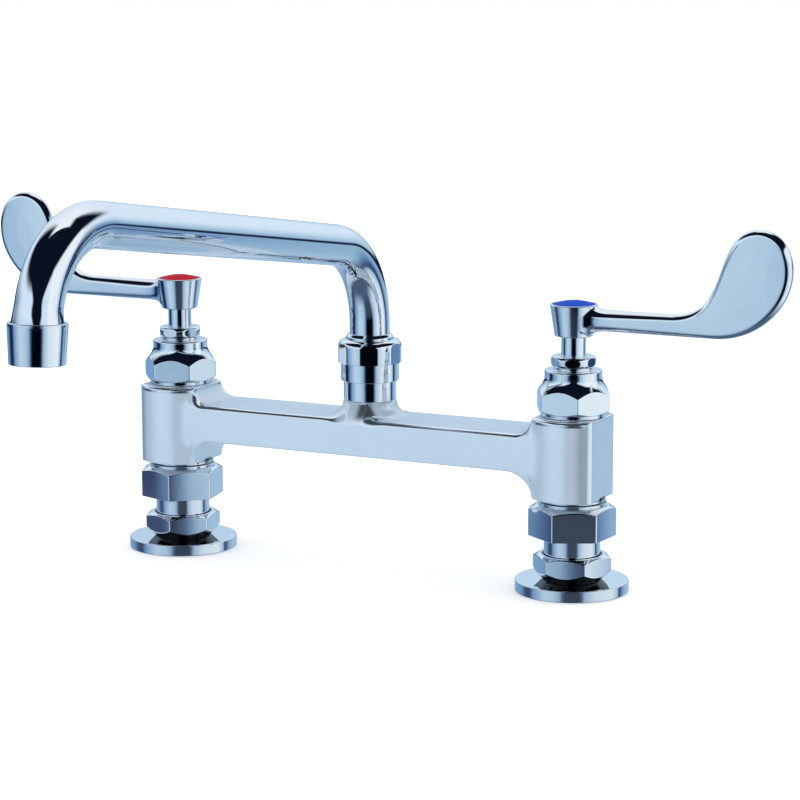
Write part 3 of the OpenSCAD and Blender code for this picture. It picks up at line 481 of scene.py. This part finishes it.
def makeCasting():
    # One ring of (y, z) for each station along x: top face, soft edge, front, soft edge and underside, and the
    # same mirrored. The three functions above give the faces, and the edges bend over between them.
    c = SimpleNamespace(**casting)
    turn = np.linspace(0, np.pi / 2, 26)
    late, early = 1 - np.sin(turn), 1 - np.cos(turn)
    stations = np.unique(np.round(np.concatenate([
        np.linspace(0, 26, 66), np.linspace(26, innerX - c.lowerFillet, 22), innerX - c.lowerFillet * late,
        innerX - c.upperFillet * late, innerX - c.upperLead + c.upperLip * early,
        innerX - c.lowerLead + c.lowerLip * early, np.linspace(innerX + 0.3, outerX - 1.2, 70),
        outerX - c.upperEnd * late, outerX - c.corner * late]), 3))
    stations = np.concatenate([-stations[:0:-1], stations])[:, None]
    x = np.abs(stations)
    atEnd = smoothStep(outerX - 2.5, outerX - 0.4, x)
    topEdge = c.topEdge + c.topEdgeAtBoss * np.exp(-(x / 11.0) ** 4)
    topEdge = (topEdge + c.topEdgeAtFillet * smoothStep(innerX - 9, innerX - 3, x)) * (1 - 0.75 * atEnd)
    atFillet = smoothStep(innerX - 14, innerX - 6, x) * (1 - smoothStep(innerX - 1, innerX + 2, x))
    footEdge = (c.footEdge + c.footEdgeAtFillet * atFillet) * (1 - 0.6 * atEnd)
    acrossTop = np.linspace(0, 1, c.topSamples)[None, :]
    bend = np.linspace(0, 1, c.bendSamples + 2)[None, 1:-1]
    down = np.linspace(0, 1, c.frontSamples)[None, :]
    down = 0.35 * (1 - np.cos(np.pi * down)) / 2 + 0.65 * down  # closer rows near both edges
    topAt = castingTop(x, castingFront(x, c.barTop))
    for _ in range(3):  # the front's depth there depends on the edge's height, so it settles in turns
        cornerY = castingFront(x, topAt)
        topAt = castingTop(x, cornerY)
    topY = acrossTop * (cornerY - topEdge)
    topZ = castingTop(x, topY)
    stopZ = topAt - topEdge
    edgeY = bentOver(topY[:, -1:], cornerY, castingFront(x, stopZ), bend)
    edgeZ = bentOver(topZ[:, -1:], topAt, stopZ, bend)
    foot = castingFoot(x)
    frontZ = stopZ + (foot + footEdge - stopZ) * down
    frontY = castingFront(x, frontZ)
    lowY = castingFront(x, foot)
    underY = lowY - footEdge
    lowEdgeY = bentOver(frontY[:, -1:], lowY, underY, bend)
    lowEdgeZ = bentOver(frontZ[:, -1:], foot, foot, bend)
    footY = underY * (1 - acrossTop)
    halfY = np.concatenate([topY, edgeY, frontY, lowEdgeY, footY], axis=1)
    halfZ = np.concatenate([topZ, edgeZ, frontZ, lowEdgeZ, foot + 0 * footY], axis=1)
    ringY = np.concatenate([-halfY, halfY[:, -2:0:-1]], axis=1)
    ringZ = np.concatenate([halfZ, halfZ[:, -2:0:-1]], axis=1)
    points = stacked(stations + 0 * ringY, ringY, ringZ)
    # buffed: 1 over the upper edge, fading out over the last rows above it and the first ones under it
    half = np.zeros(halfY.shape[1])
    half[c.topSamples - 2:c.topSamples + c.bendSamples + 2] = [0.5, 1, *np.ones(c.bendSamples), 1, 0.5]
    buffed = np.concatenate([half, half[-2:0:-1]]) * np.ones_like(ringY)
    # the wheel leaves the hot half of the rise to the boss satin
    buffed = buffed * (1 - c.bossSatin * np.exp(-((stations + 4.6) / 5.4) ** 6))
    buffed = np.maximum(buffed, c.endBuff * smoothStep(outerX - c.corner * 1.2, outerX - c.corner * 0.9, x))
    # a painted dark reflection: a darker band on the column just before the flat side
    band = smoothStep(outerX - 9.0, outerX - 1.9, x) * (1 - smoothStep(outerX - 1.5, outerX - 0.9, x))
    beside = smoothStep(c.columnRadius * 0.5, c.columnRadius * 0.6, np.abs(ringY))
    paintedShade = c.turnedOff * band ** 2 * beside
    # rings just inside each flat end keep its shading flat
    ends = [np.array([end, 0, (c.foot + c.top) / 2]) for end in (-outerX, outerX)]
    for inset in (0.985, 0.9):
        points = np.concatenate([(ends[0] + (points[0] - ends[0]) * inset)[None], points,
                                 (ends[1] + (points[-1] - ends[1]) * inset)[None]])
        buffed = np.pad(buffed, ((1, 1), (0, 0)), constant_values=c.endBuff)
        paintedShade = np.pad(paintedShade, ((1, 1), (0, 0)))
    makePiece("bodyCasting", points, ["bridge_body"], material="castChromePaintedReflection",
              marks={"buffed": buffed, "paintedShade": paintedShade}, poles=ends)


# Valves: ring, bonnet, packing nut and stem of each column

valves = dict(
    ringBore=11.2, ringRadius=14.5, bonnetFlats=30.5, bonnetFoot=81.5, footRadius=15.2, edge=0.5,
    bonnetTurns={"hot": 15, "cold": 0}, headRadius=12.9, headTop=100.45, neckRadius=9.0,
    # the hollow flare over the flats, and how far out and up its two leads lie
    coveFoot=89.5, coveTop=98.0, coveLead=(0.36, 0.19), coveEnd=(1.04, 0.55),
    shellRadius=9.65, shellFoot=56.0, shellTop=68.6, threadRadius=11.15, chamber=8.25, chamberTop=86.2,
    glandRadius=8.2, glandTop=105.05, packingRadius=6.8, packingSeat=99.05, stemBore=5.55,
    packingFlats=19.0, packingFoot=101.7, packingTop=106.6, packingTurns={"hot": 59, "cold": 20}, barrel=10.1,
    barrelEnd=8.5, barrelFoot=8.3, barrelMouth=6.2, lapTop=105.1,
    # the stem's steps from its foot up: (radius, height)
    stemSteps=[(7.8, 61.7), (7.8, 65.9), (4.3, 65.9), (4.3, 82.9), (7.6, 82.9), (7.6, 85.9), (5.5, 85.9),
               (5.5, 115.9), (3.6, 115.9), (3.6, 122.9)])


def makeValve(side):
    # Turned profiles and hexagons. The bonnet's flats end where they meet the flare, a cubic (r(t), z(t)) from
    # the hexagon's corners up to the round head.
    x, v = columnX[side], SimpleNamespace(**valves)
    ringFoot, ringTop = casting["top"], v.bonnetFoot
    ringMiddle = (ringFoot + ringTop) / 2
    # painted shade darkens the ring's top and bottom edges, in the grooves against the casting and the bonnet
    lathe(side + "BonnetRing", [
        (v.ringBore, ringFoot, 0.1), (v.ringRadius, ringFoot, 0.25), (v.ringRadius, ringTop, 0.25),
        (v.ringBore, ringTop, 0.1)], x, [side + "_bonnet_ring"],
        paintedShade=lambda rows: grooveShade * smoothStep(0.65, 0.8, np.abs(rows[..., 1] - ringMiddle)))
    columns = hexColumns(v.bonnetFlats, v.edge, v.bonnetTurns[side])
    R = columns[1]
    t = np.linspace(0, 1, 60)
    corner = np.array([v.bonnetFlats / 2 / math.cos(math.pi / 6), v.coveFoot])
    rise = np.array([v.headRadius, v.coveTop]) - corner
    cove = cubic(corner, corner + rise * v.coveLead, corner + rise * v.coveEnd, corner + rise, len(t))
    meet = np.interp(R, cove[::-1, 0], t[::-1])
    climb = meet + (1 - meet) * np.linspace(0, 1, 12)[:, None]
    coveR, coveZ = np.interp(climb, t, cove[:, 0]), np.interp(climb, t, cove[:, 1])
    footZ = v.bonnetFoot + 0.1 + np.clip(R - v.footRadius, 0, None) * feet["slope"]
    hexPiece(side + "Bonnet", x, columns, [
        (v.chamber, v.shellFoot, 0.2), (v.shellRadius, v.shellFoot, 0.2), (v.shellRadius, v.shellTop, 0.2),
        (v.threadRadius, v.shellTop, 0.2), (v.threadRadius, v.bonnetFoot, 0.1),
        (np.minimum(v.footRadius, R - 0.1), v.bonnetFoot, 0.2), (R, footZ, 0.4), (coveR[0], coveZ[0], 0.45),
        *[(coveR[k], coveZ[k], 0) for k in range(1, len(climb))],
        (v.headRadius, v.headTop, 1.0), (v.neckRadius, v.headTop, 0.25), (v.neckRadius, v.packingFoot, 0.2),
        (v.glandRadius, v.packingFoot, 0.1), (v.glandRadius, v.glandTop, 0.2),
        (v.packingRadius, v.glandTop, 0.2), (v.packingRadius, v.packingSeat, 0.1),
        (v.stemBore, v.packingSeat, 0.1), (v.stemBore, v.chamberTop, 0.1), (v.chamber, v.chamberTop, 0.1)],
        [side + "_bonnet"])
    # packing nut: a barrel whose radius swells by sin(a)^0.8 from foot to top
    a = np.linspace(0, np.pi, 30)
    foot, top = v.packingFoot, v.packingTop
    barrel = stacked(v.barrelEnd + (v.barrel - v.barrelEnd) * np.sin(a) ** 0.8,
                     (foot + top) / 2 - (top - foot) / 2 * np.cos(a))
    flattedNut(side + "PackingNut", x, [(v.chamber, foot), (v.barrelFoot, foot)], barrel,
               [(v.barrelMouth, top), (v.stemBore + 0.1, top), (v.stemBore, top - 0.15),
                (v.stemBore, v.lapTop), (v.chamber, v.lapTop)],
               v.packingFlats, v.packingTurns[side], 0.14, 240, [side + "_packing_nut"])
    steps = v.stemSteps
    lathe(side + "Stem", [(0, steps[0][1], 0), *[(r, z, 0.2) for r, z in steps], (0, steps[-1][1], 0)],
          x, [side + "_spindle"], side + "_valve")


# Handles: hub, arm and blade, with the coloured button

lever = dict(
    reach=100.0, rise=43.7, tipRadius=14.1, hubFoot=115.35, hubHeight=13.95, armShare=0.558, armHalf=4.8,
    # half thickness of arm and blade, their round rims, where one turns into the other, and the blade's dome
    armWidth=4.7, bladeHalf=3.2, armRim=4.3, bladeRim=3.1, slimming=(8.0, 64.0), domeRise=0.35, domeRun=8.0,
    # the blade's two edges: where each leaves the arm, bends, and meets the round tip, and with what lead
    bellyStart=66.0, bellyBend=89.0, tipLow=23.0, bellyLead=1.42,
    throatStart=46.5, throatBend=68.0, tipHigh=145.0, throatLead=1.04,
    # how the arm spreads into the hub: size, where it starts to fade, and its run
    armStart=6.0, swellUp=(1.5, 10.2, 1.9), swellDown=(2.7, 8.4, 1.8), swellOut=(3.4, 6.0, 3.4),
    buttonRadius=9.5, buttonRise=1.9)


def arcLength(path):
    return np.concatenate([[0], np.cumsum(np.linalg.norm(np.diff(path, axis=0), axis=1))])


def evenly(path, count):
    # the same path in count points at equal arc lengths
    length = arcLength(path)
    at = np.linspace(0, length[-1], count)
    return stacked(*(np.interp(at, length, part) for part in path.T))


def makeHandle(side):
    # Rings between a lower and an upper outline. At the depth d inside it the lever stands out to each side by
    # thick * sqrt(1 - (1 - d / rim)^2), the rim's round, plus the low dome.
    g, x0, body = SimpleNamespace(**lever), columnX[side], side + "_valve"
    sign = 1 if side == "cold" else -1
    armZ = g.hubFoot + g.hubHeight * g.armShare
    low, high = armZ - g.armHalf, armZ + g.armHalf
    tipCentre = np.array([g.reach - g.tipRadius, armZ + g.rise - g.tipRadius])

    def tip(degrees):
        a = np.radians(degrees)
        return tipCentre + g.tipRadius * stacked(np.cos(a), np.sin(a))

    def edge(start, bend, z, lead, degrees):
        # straight from the arm, then a cubic that meets the tip along its circle
        a, end = math.radians(degrees), tip(degrees)
        heading = g.tipRadius * np.array([-math.sin(a), math.cos(a)])
        path = cubic((start, z), (bend, z), end + lead * heading, end, 300)
        return evenly(np.concatenate([[[startX, z]], path]), 90)

    def swell(size, start, run):
        # size * e^(-distance past the start / run)
        return size * np.exp(-np.clip(straight - start, 0, None) / run)

    startX = g.throatStart - 4.0
    belly = edge(g.bellyStart, g.bellyBend, low, -g.bellyLead, g.tipLow)
    throat = edge(g.throatStart, g.throatBend, high, g.throatLead, g.tipHigh)
    straight = np.concatenate([np.linspace(g.armStart, 16.0, 32), np.linspace(16.0, startX, 20)[1:-1]])
    crown = np.radians(np.linspace(0, 90, 34))[1:-1]
    middle, span = (g.tipLow + g.tipHigh) / 2, (g.tipHigh - g.tipLow) / 2
    spread = span * np.cos(crown)
    lower = np.concatenate([stacked(straight, low - swell(*g.swellDown)), belly, tip(middle - spread)])
    upper = np.concatenate([stacked(straight, high + swell(*g.swellUp)), throat, tip(middle + spread)])
    mid, half = (lower + upper) / 2, np.linalg.norm(upper - lower, axis=1) / 2
    along = (upper - lower) / (2 * half[:, None])
    slim = smoothStep(*g.slimming, arcLength(mid) + g.armStart)
    thick = g.armWidth * (1 - slim) + g.bladeHalf * slim
    thick[:len(straight)] += swell(*g.swellOut)
    rim = (g.armRim * (1 - slim) + g.bladeRim * slim)[:, None]
    turn = fullTurn(96)
    u = half[:, None] * np.cos(turn)
    planar = mid[:, None, :] + u[..., None] * along[:, None, :]
    # depth of each point inside the outline: the shortest way to any of its chords, end to end
    outline = np.concatenate([lower, upper[::-1]])
    chordStart, chord = outline[:-1], np.diff(outline, axis=0)
    offset = planar.reshape(-1, 1, 2) - chordStart[None]
    reachAlong = np.clip((offset * chord).sum(-1) / np.maximum((chord ** 2).sum(-1), 1e-9), 0, 1)
    depth = np.linalg.norm(offset - reachAlong[..., None] * chord, axis=-1).min(axis=1).reshape(u.shape)
    depth = np.where(np.abs(np.sin(turn)) < 1e-9, 0, depth)
    rounding = np.sqrt(1 - (1 - np.clip(depth / rim, 0, 1)) ** 2)
    dome = g.domeRise * slim[:, None] * np.clip((depth - rim) / g.domeRun, 0, 1)
    across = (thick[:, None] * rounding + dome) * np.sign(np.sin(turn))
    points = stacked(x0 + sign * planar[..., 0], across, planar[..., 1])
    ends = [np.array([x0 + sign * end[0], 0, end[1]]) for end in (mid[0], tip(middle))]
    makePiece(side + "Lever", points, body=body, poles=ends)
    top = g.hubFoot + g.hubHeight
    lathe(side + "Hub", [
        (5.6, g.hubFoot, 0.2), (8.5, g.hubFoot, 0.7), (10.3, top - 2.4, 0.5), (10.65, top, 0.45),
        (10.4, top + 0.35, 0.3), (9.6, top + 0.4, 0.15), (9.55, top - 1.3, 0.1), (5.6, top - 1.3, 0.1)],
        x0, [side + "_handle"], body, columns=256)
    # the button's face is a dome: rise * (1 - (r / edge)^2) over its edge
    face = [(g.buttonRadius * k, top + 0.1 + g.buttonRise * (1 - k * k), 0.35 if k == 1 else 0)
            for k in np.linspace(1, 0, 12)]
    lathe(side + "Button", [(0, top - 1.3, 0), (g.buttonRadius, top - 1.3, 0.15)] + face,
          x0, [side + "_index_button"], body, side + "_index")


# Swivel and spout

swivel = dict(
    neckRadius=12.15, neckFoot=79.5, collarRadius=13.45, collarFoot=88.3, nutRadius=14.6, nutFlats=28.1,
    nutFoot=96.6, nutTop=107.4, nutTurn=25, shoulder=3.4, footRound=0.35,
    # the adapter's waterway, spigot, socket for the bush, and lip under the nut
    bore=7.5, spigotRadius=10.0, spigotFoot=71.0, socketRadius=10.5, socketFoot=82.0, lipRadius=12.7,
    lipTop=103.8, nutBore=12.75, nutMouth=10.95, nutCeiling=105.9,
    # the bush, with its flange in the nut and the bead over it: (radius, height, corner cut)
    bush=[(9.27, 90.2, 0.1), (7.5, 90.2, 0.1), (7.5, 82.3, 0.2), (10.45, 82.3, 0.2), (10.45, 104.1, 0.1),
          (12.1, 104.1, 0.2), (12.1, 105.6, 0.2), (10.9, 105.6, 0.1), (10.9, 108.5, 0.5), (9.75, 109.9, 0.35),
          (9.27, 109.9, 0.1)])
spout = dict(
    radius=9.25, wall=1.0, foot=90.2, riserTop=114.5, riserBend=40.2, riserAngle=81.5, run=194.7,
    outletBend=36.3, outletAngle=95.0, straightEnd=1.4, flareLength=11.0, flareRadius=10.3,
    collarTop=11.5, collarMouth=10.7, collarLength=15.7, collarLap=1.5, bore=8.8,
    socketRadius=10.33, seatRadius=9.35, mouthLength=6.0)


def makeSwivel():
    # turned profiles, and a nut with a quarter-round shoulder and six flats
    s = SimpleNamespace(**swivel)
    lathe("swivelNeck", [
        (s.bore, s.spigotFoot, 0.2), (s.spigotRadius, s.spigotFoot, 0.3), (s.spigotRadius, s.neckFoot, 0.1),
        (s.neckRadius, s.neckFoot, 0.1), (s.neckRadius, s.collarFoot, 0.1),
        (s.collarRadius, s.collarFoot, 0.35), (s.collarRadius, s.nutFoot, 0.1), (s.lipRadius, s.nutFoot, 0.1),
        (s.lipRadius, s.lipTop, 0.3), (s.socketRadius, s.lipTop, 0.2), (s.socketRadius, s.socketFoot, 0.2),
        (s.bore, s.socketFoot, 0.2)], 0.0, ["swivel_adapter"])
    climb, foot = np.radians(np.linspace(0, 90, 22)), np.linspace(0, 1, 5)
    outside = np.concatenate([
        stacked(s.nutRadius - s.footRound * (1 - foot) ** 2, s.nutFoot + s.footRound * foot ** 2),
        stacked(s.nutRadius - s.shoulder + s.shoulder * np.cos(climb),
                s.nutTop - s.shoulder + s.shoulder * np.sin(climb))])
    flattedNut("swivelNut", 0.0, [(s.nutBore, s.nutFoot), (13.4, s.nutFoot)], outside,
               [(s.nutMouth, s.nutTop), (s.nutMouth, s.nutCeiling), (s.nutBore, s.nutCeiling)],
               s.nutFlats, s.nutTurn, 0.12, 288, ["swivel_nut"])
    lathe("swivelBush", s.bush, 0.0, ["spout_bush"], "spout")


def spoutPath():
    # The middle line as (forward, up) with its heading: straight up, round an arc (forward = r - r cos a,
    # up = r sin a), straight along the run, and round a second arc.
    s = SimpleNamespace(**spout)
    a, b = math.radians(s.riserAngle), math.radians(s.outletAngle)
    riser = np.array([s.foot, 106.0, 110.0, s.riserTop - 0.5])
    bendA = np.linspace(0, a, 110)
    run = np.linspace(0, s.run, 26)[1:-1]
    bendB = np.linspace(0, b, 130)
    runForward, runUp = s.riserBend * (1 - math.cos(a)), s.riserTop + s.riserBend * math.sin(a)
    endForward, endUp = runForward + s.run * math.sin(a), runUp + s.run * math.cos(a)
    forward = np.concatenate([np.zeros(len(riser)), s.riserBend * (1 - np.cos(bendA)),
                              runForward + run * math.sin(a),
                              endForward + s.outletBend * (math.cos(a) - np.cos(a + bendB))])
    up = np.concatenate([riser, s.riserTop + s.riserBend * np.sin(bendA), runUp + run * math.cos(a),
                         endUp + s.outletBend * (np.sin(a + bendB) - math.sin(a))])
    angle = np.concatenate([np.zeros(len(riser)), bendA, np.full(len(run), a), a + bendB])
    return forward, up, angle


def makeSpout():
    # a circle swept along the path, outside and back inside; the flare opens by smoothStep^1.5 of the length
    s = SimpleNamespace(**spout)
    forward, up, angle = spoutPath()
    endForward, endUp, endAngle = forward[-1], up[-1], angle[-1]
    forward = np.append(forward, endForward + s.straightEnd * math.sin(endAngle))
    up = np.append(up, endUp + s.straightEnd * math.cos(endAngle))
    angle = np.append(angle, endAngle)
    length = arcLength(stacked(forward, up))
    flare = smoothStep(0, s.flareLength, length - (length[-1] - s.flareLength)) ** 1.5
    outer = s.radius + (s.flareRadius - s.radius) * flare
    inner = s.radius - s.wall + 0 * length
    turn = fullTurn(160)

    def sweep(f, z, a, r):
        # across the path the outward direction in the spout's plane is (cos, -sin) of the heading's angle
        out, side = r[:, None] * np.cos(turn), r[:, None] * np.sin(turn)
        f, z, a = f[:, None], z[:, None], a[:, None]
        return stacked(side, -(f + out * np.cos(a)), z - out * np.sin(a))

    makePiece("spoutTube", np.concatenate([sweep(forward, up, angle, outer),
                                           sweep(forward[::-1], up[::-1], angle[::-1], inner[::-1])]),
              ["spout_tube"], "spout")

    def atMouth(p):
        # from an upright frame, z down the mouth's axis, to the end of the tube
        axis = np.array([0.0, -math.sin(endAngle), math.cos(endAngle)])
        across = np.array([0.0, -math.cos(endAngle), -math.sin(endAngle)])
        end = np.array([0.0, -endForward, endUp])
        return end + p[..., :1] * np.array([1.0, 0, 0]) + p[..., 1:2] * across + p[..., 2:3] * axis

    top, mouth = -s.collarLap, s.collarLength - s.collarLap
    lathe("outletCollar", [
        (s.socketRadius, top, 0.1), (s.collarTop - 0.1, top, 0.35), (s.collarTop, top + 1.6, 0.6),
        (s.collarMouth, mouth, 0.4), (s.bore, mouth, 0.5), (s.bore, mouth - s.mouthLength, 0.1),
        (s.seatRadius, mouth - s.mouthLength, 0.1), (s.seatRadius, s.collarLap, 0.1),
        (s.socketRadius, s.collarLap, 0.1)], 0.0, ["outlet_collar"], "spout", columns=224, place=atMouth)


makeCasting()
for side in columnX:
    makeFeet(side)
    makeValve(side)
    makeHandle(side)
makeSwivel()
makeSpout()
print("stage: pieces")

# The inner pieces keep their CAD shapes and get the finish of their slot
subparts = {part["node"]: part["material_slot"] for part in frame["record"]["subparts"]}
for nodeName, node in frame["nodes"].items():
    for place in node.material_slots:
        place.material = materials[slotMaterials[subparts[nodeName]]]
print("stage: inner pieces")


# Studio: a white floor, plain light, and a ring of flags and soft boxes that only the metal sees

# In degrees: sides to the right of the camera as seen from above, and heights above the horizon.
# A pair is where a shape starts to show and where it is full.
studio = dict(
    radius=2600.0, centre=(0.0, 0.0, 90.0),
    # what stands round the object low down, by side
    cards=[(-180, "#a8c4e2"), (-150, "#7ea6cf"), (-127, "#6f96b8"), (-117, "#4a6d96"), (-110, "#1b2850"),
           (-96, "#1b2850"), (-84, "#7ba0c8"), (-58, "#c4dcee"), (-38, "#b6d0e5"), (-26, "#93b0cb"),
           (-20, "#3d5478"), (-14, "#04060c"), (14, "#04060c"), (19, "#3d5478"), (25, "#a3bdd6"),
           (44, "#dcebf6"), (84, "#f2fbff"), (100, "#b4cfe6"), (105, "#24385f"), (110, "#2f4570"),
           (115, "#5c7fae"), (124, "#93b5d3"), (142, "#adcde3"), (180, "#a8c4e2")],
    # what hangs over it, by height, and where it takes over from the cards
    sky=[(0, "#bcd6ee"), (4, "#cfe5f8"), (14, "#dcf0ff"), (32, "#e2eefc"), (60, "#f2f8ff"), (90, "#ffffff")],
    skyStarts=(1, 20),
    # the dark room in front, and the dark strip that runs on overhead: its half width is a sine, and it
    # widens by height
    dark="#0b1222", roomSides=(142, 118), roomFoot=(24, 36), roomTop=(76, 66),
    stripHalf=(0.3, 0.16), stripSides=(95, 85), stripFoot=(-8, -3), stripWiden=0.5,
    widenFoot=(12, 42), widenTop=(80, 66),
    # the white soft box on the right
    box="#f6fbff", boxLeft=(42, 50), boxRight=(104, 96), boxFoot=(4, 10), boxTop=(36, 28),
    # the dark line where the table ends behind the object, and its sharpness, which falls with the side
    line="#14223e", lineHeight=-1, lineSides=(90, 118), lineSharp=(1.1, 0.22), sharpSides=(105, 120),
    # the shaded table under the object
    under="#3a4c68", underHeights=(-38, -60),
    # the table in the metal by metres from its middle, darker near the middle as painted shadow of the object
    # on it, how clear it is there, and where it fades
    table=[(0.0, "#6f88a8"), (0.12, "#8aa0bb"), (0.25, "#8fa8c6"), (0.5, "#a3bddb")],
    tableClear=0.82, tableFades=(0.2, 0.42),
    # the floor's paper and its glow, and the strength of the plain light
    paper=0.97, paperGlow=0.12, floorHalf=6, light=1.15,
)


def makeDome():
    # a sphere of emission, inside out
    s = SimpleNamespace(**studio)
    dome = newObject("studioDome", bpy.data.meshes.new("studioDome"))
    ring = fullTurn(96)
    tilt = np.radians(np.linspace(-88, 88, 60))[:, None]
    points = np.array(s.centre) + s.radius * stacked(
        np.cos(tilt) * np.cos(ring), np.cos(tilt) * np.sin(ring), np.sin(tilt) + 0 * ring)
    index, quads = gridFaces(*points.shape[:2])
    caps = [index[0, :-1].tolist(), index[-1, -2::-1].tolist()]
    dome.data.from_pydata((points.reshape(-1, 3) * metresPerMm).tolist(), [],
                          quads[:, [0, 3, 2, 1]].tolist() + caps)
    material, tree = newMaterial("studioCards")

    def calc(operation, *values, clamp=False):
        return maths(tree, operation, *values, clamp=clamp)

    def product(first, *others):
        for other in others:
            first = calc("MULTIPLY", first, other)
        return first

    def between(value, span):
        # 0 where the span starts, 1 where it is full, smooth in between
        return mapRange(tree, value, *span, smooth=True)

    place = addNode(tree, "TexCoord")
    centred = addNode(tree, "VectorMath", {"operation": "SUBTRACT"},
                      {0: place.outputs["Object"], 1: tuple(np.array(s.centre) * metresPerMm)})
    unit = addNode(tree, "VectorMath", {"operation": "NORMALIZE"}, {0: centred})
    axes = addNode(tree, "SeparateXYZ", inputs={0: unit})
    # azimuth from the front towards the right, then from the photograph's, -180 to 180 degrees
    azimuth = calc("DEGREES", calc("ARCTAN2", axes.outputs["X"], calc("MULTIPLY", axes.outputs["Y"], -1.0)))
    side = calc("WRAP", calc("SUBTRACT", azimuth, view["azimuth"]), 180.0, -180.0)
    height = calc("DEGREES", calc("ARCSINE", axes.outputs["Z"]))
    sideways = calc("ABSOLUTE", side)
    low = addNode(tree, "ValToRGB", inputs={"Fac": calc("MULTIPLY_ADD", side, 1 / 360, 0.5)})
    setRamp(low, [((a + 180) / 360, colour) for a, colour in s.cards])
    high = addNode(tree, "ValToRGB", inputs={"Fac": calc("DIVIDE", height, 90.0)})
    setRamp(high, [(h / 90, colour) for h, colour in s.sky])
    colour = mixColour(tree, mapRange(tree, height, *s.skyStarts), low, high)
    room = product(between(sideways, s.roomSides), between(height, s.roomFoot), between(height, s.roomTop))
    lateral = product(calc("SINE", calc("RADIANS", side)), calc("COSINE", calc("RADIANS", height)))
    lateral = calc("ABSOLUTE", lateral)
    widening = product(between(height, s.widenFoot), between(height, s.widenTop))
    lateral = calc("MULTIPLY_ADD", widening, -s.stripWiden, lateral)
    strip = product(between(lateral, s.stripHalf), between(sideways, s.stripSides),
                    between(height, s.stripFoot))
    colour = mixColour(tree, calc("MAXIMUM", room, strip), colour, linear(s.dark))
    box = product(between(side, s.boxLeft), between(side, s.boxRight), between(height, s.boxFoot),
                  between(height, s.boxTop))
    colour = mixColour(tree, box, colour, linear(s.box))
    fromLine = calc("ABSOLUTE", calc("SUBTRACT", height, s.lineHeight))
    line = product(fromLine, mapRange(tree, sideways, *s.sharpSides, *s.lineSharp))
    line = product(between(calc("SUBTRACT", 1.0, line, clamp=True), (0.0, 0.7)), between(sideways, s.lineSides))
    colour = mixColour(tree, line, colour, linear(s.line))
    colour = mixColour(tree, mapRange(tree, height, *s.underHeights), colour, linear(s.under))
    surfaceOutput(tree, addNode(tree, "Emission", inputs={"Color": colour}))
    material.cycles.emission_sampling = "NONE"
    dome.data.materials.append(material)
    dome.visible_camera = dome.visible_diffuse = dome.visible_shadow = dome.visible_transmission = False
    dome.visible_glossy = True
    return dome


def makeFloor():
    # white paper to the eye, and in the metal a faint blue-grey table that fades out
    s = SimpleNamespace(**studio)
    floor = newObject("studioFloor", bpy.data.meshes.new("studioFloor"))
    h = s.floorHalf
    floor.data.from_pydata([(-h, -h, 0), (h, -h, 0), (h, h, 0), (-h, h, 0)], [], [(0, 1, 2, 3)])
    material, tree = newMaterial("whitePaperFloor")
    paper = addNode(tree, "AddShader", inputs={
        0: addNode(tree, "BsdfDiffuse", inputs={"Color": (s.paper, s.paper, s.paper, 1)}),
        1: addNode(tree, "Emission", inputs={"Strength": s.paperGlow})})
    place = addNode(tree, "TexCoord")
    away = addNode(tree, "VectorMath", {"operation": "LENGTH"}, {0: place.outputs["Object"]})
    tone = addNode(tree, "ValToRGB", inputs={"Fac": away.outputs["Value"]})
    # darker towards the middle: painted shadow of the object on the reflected table
    setRamp(tone, s.table)
    sheen = addNode(tree, "Emission", inputs={"Color": tone})
    clear = mapRange(tree, away.outputs["Value"], *s.tableFades, s.tableClear, 1.0, smooth=True)
    through = addNode(tree, "BsdfTransparent")
    seen = addNode(tree, "MixShader", inputs={0: clear, 1: sheen, 2: through})
    rays = addNode(tree, "LightPath")
    surfaceOutput(tree, addNode(tree, "MixShader", inputs={
        0: rays.outputs["Is Glossy Ray"], 1: paper, 2: seen}))
    material.cycles.emission_sampling = "NONE"
    floor.data.materials.append(material)
    floor.location = (0, 0, -0.0002)  # just under the flanges
    return floor


def makeWorld():
    # white at strength 1 where it is seen, straight or in metal, and the plain light everywhere else
    world = bpy.data.worlds.new("studioWorld")
    bpy.context.scene.world = world
    world.use_nodes = True
    tree = world.node_tree
    tree.nodes.clear()
    rays = addNode(tree, "LightPath").outputs
    seen = maths(tree, "MAXIMUM", rays["Is Camera Ray"], rays["Is Glossy Ray"])
    seen = maths(tree, "MAXIMUM", seen, rays["Is Transmission Ray"])
    back = addNode(tree, "Background", inputs={
        "Color": (1, 1, 1, 1), "Strength": mapRange(tree, seen, 0.0, 1.0, studio["light"], 1.0)})
    addNode(tree, "OutputWorld", inputs={"Surface": back})


def makeCamera():
    a, e, roll = (math.radians(view[k]) for k in ("azimuth", "elevation", "roll"))
    back = np.array([math.sin(a) * math.cos(e), -math.cos(a) * math.cos(e), math.sin(e)])
    right = np.array([math.cos(a), math.sin(a), 0.0])
    up = np.cross(back, right)
    rolledRight = right * math.cos(roll) + up * math.sin(roll)
    camera = newObject("camera", bpy.data.cameras.new("camera"))
    camera.data.lens, camera.data.sensor_width = view["lens"], view["sensor"]
    camera.data.clip_end = view["clipEnd"]
    place = np.eye(4)
    place[:3, 0], place[:3, 1], place[:3, 2] = rolledRight, np.cross(back, rolledRight), back
    place[:3, 3] = np.array(view["target"]) + back * view["distance"]
    camera.matrix_world = Matrix(place.tolist())
    bpy.context.scene.camera = camera


dome, floor = makeDome(), makeFloor()
makeWorld()
bpy.context.scene.view_settings.view_transform = "Standard"
makeCamera()
print("stage: studio")
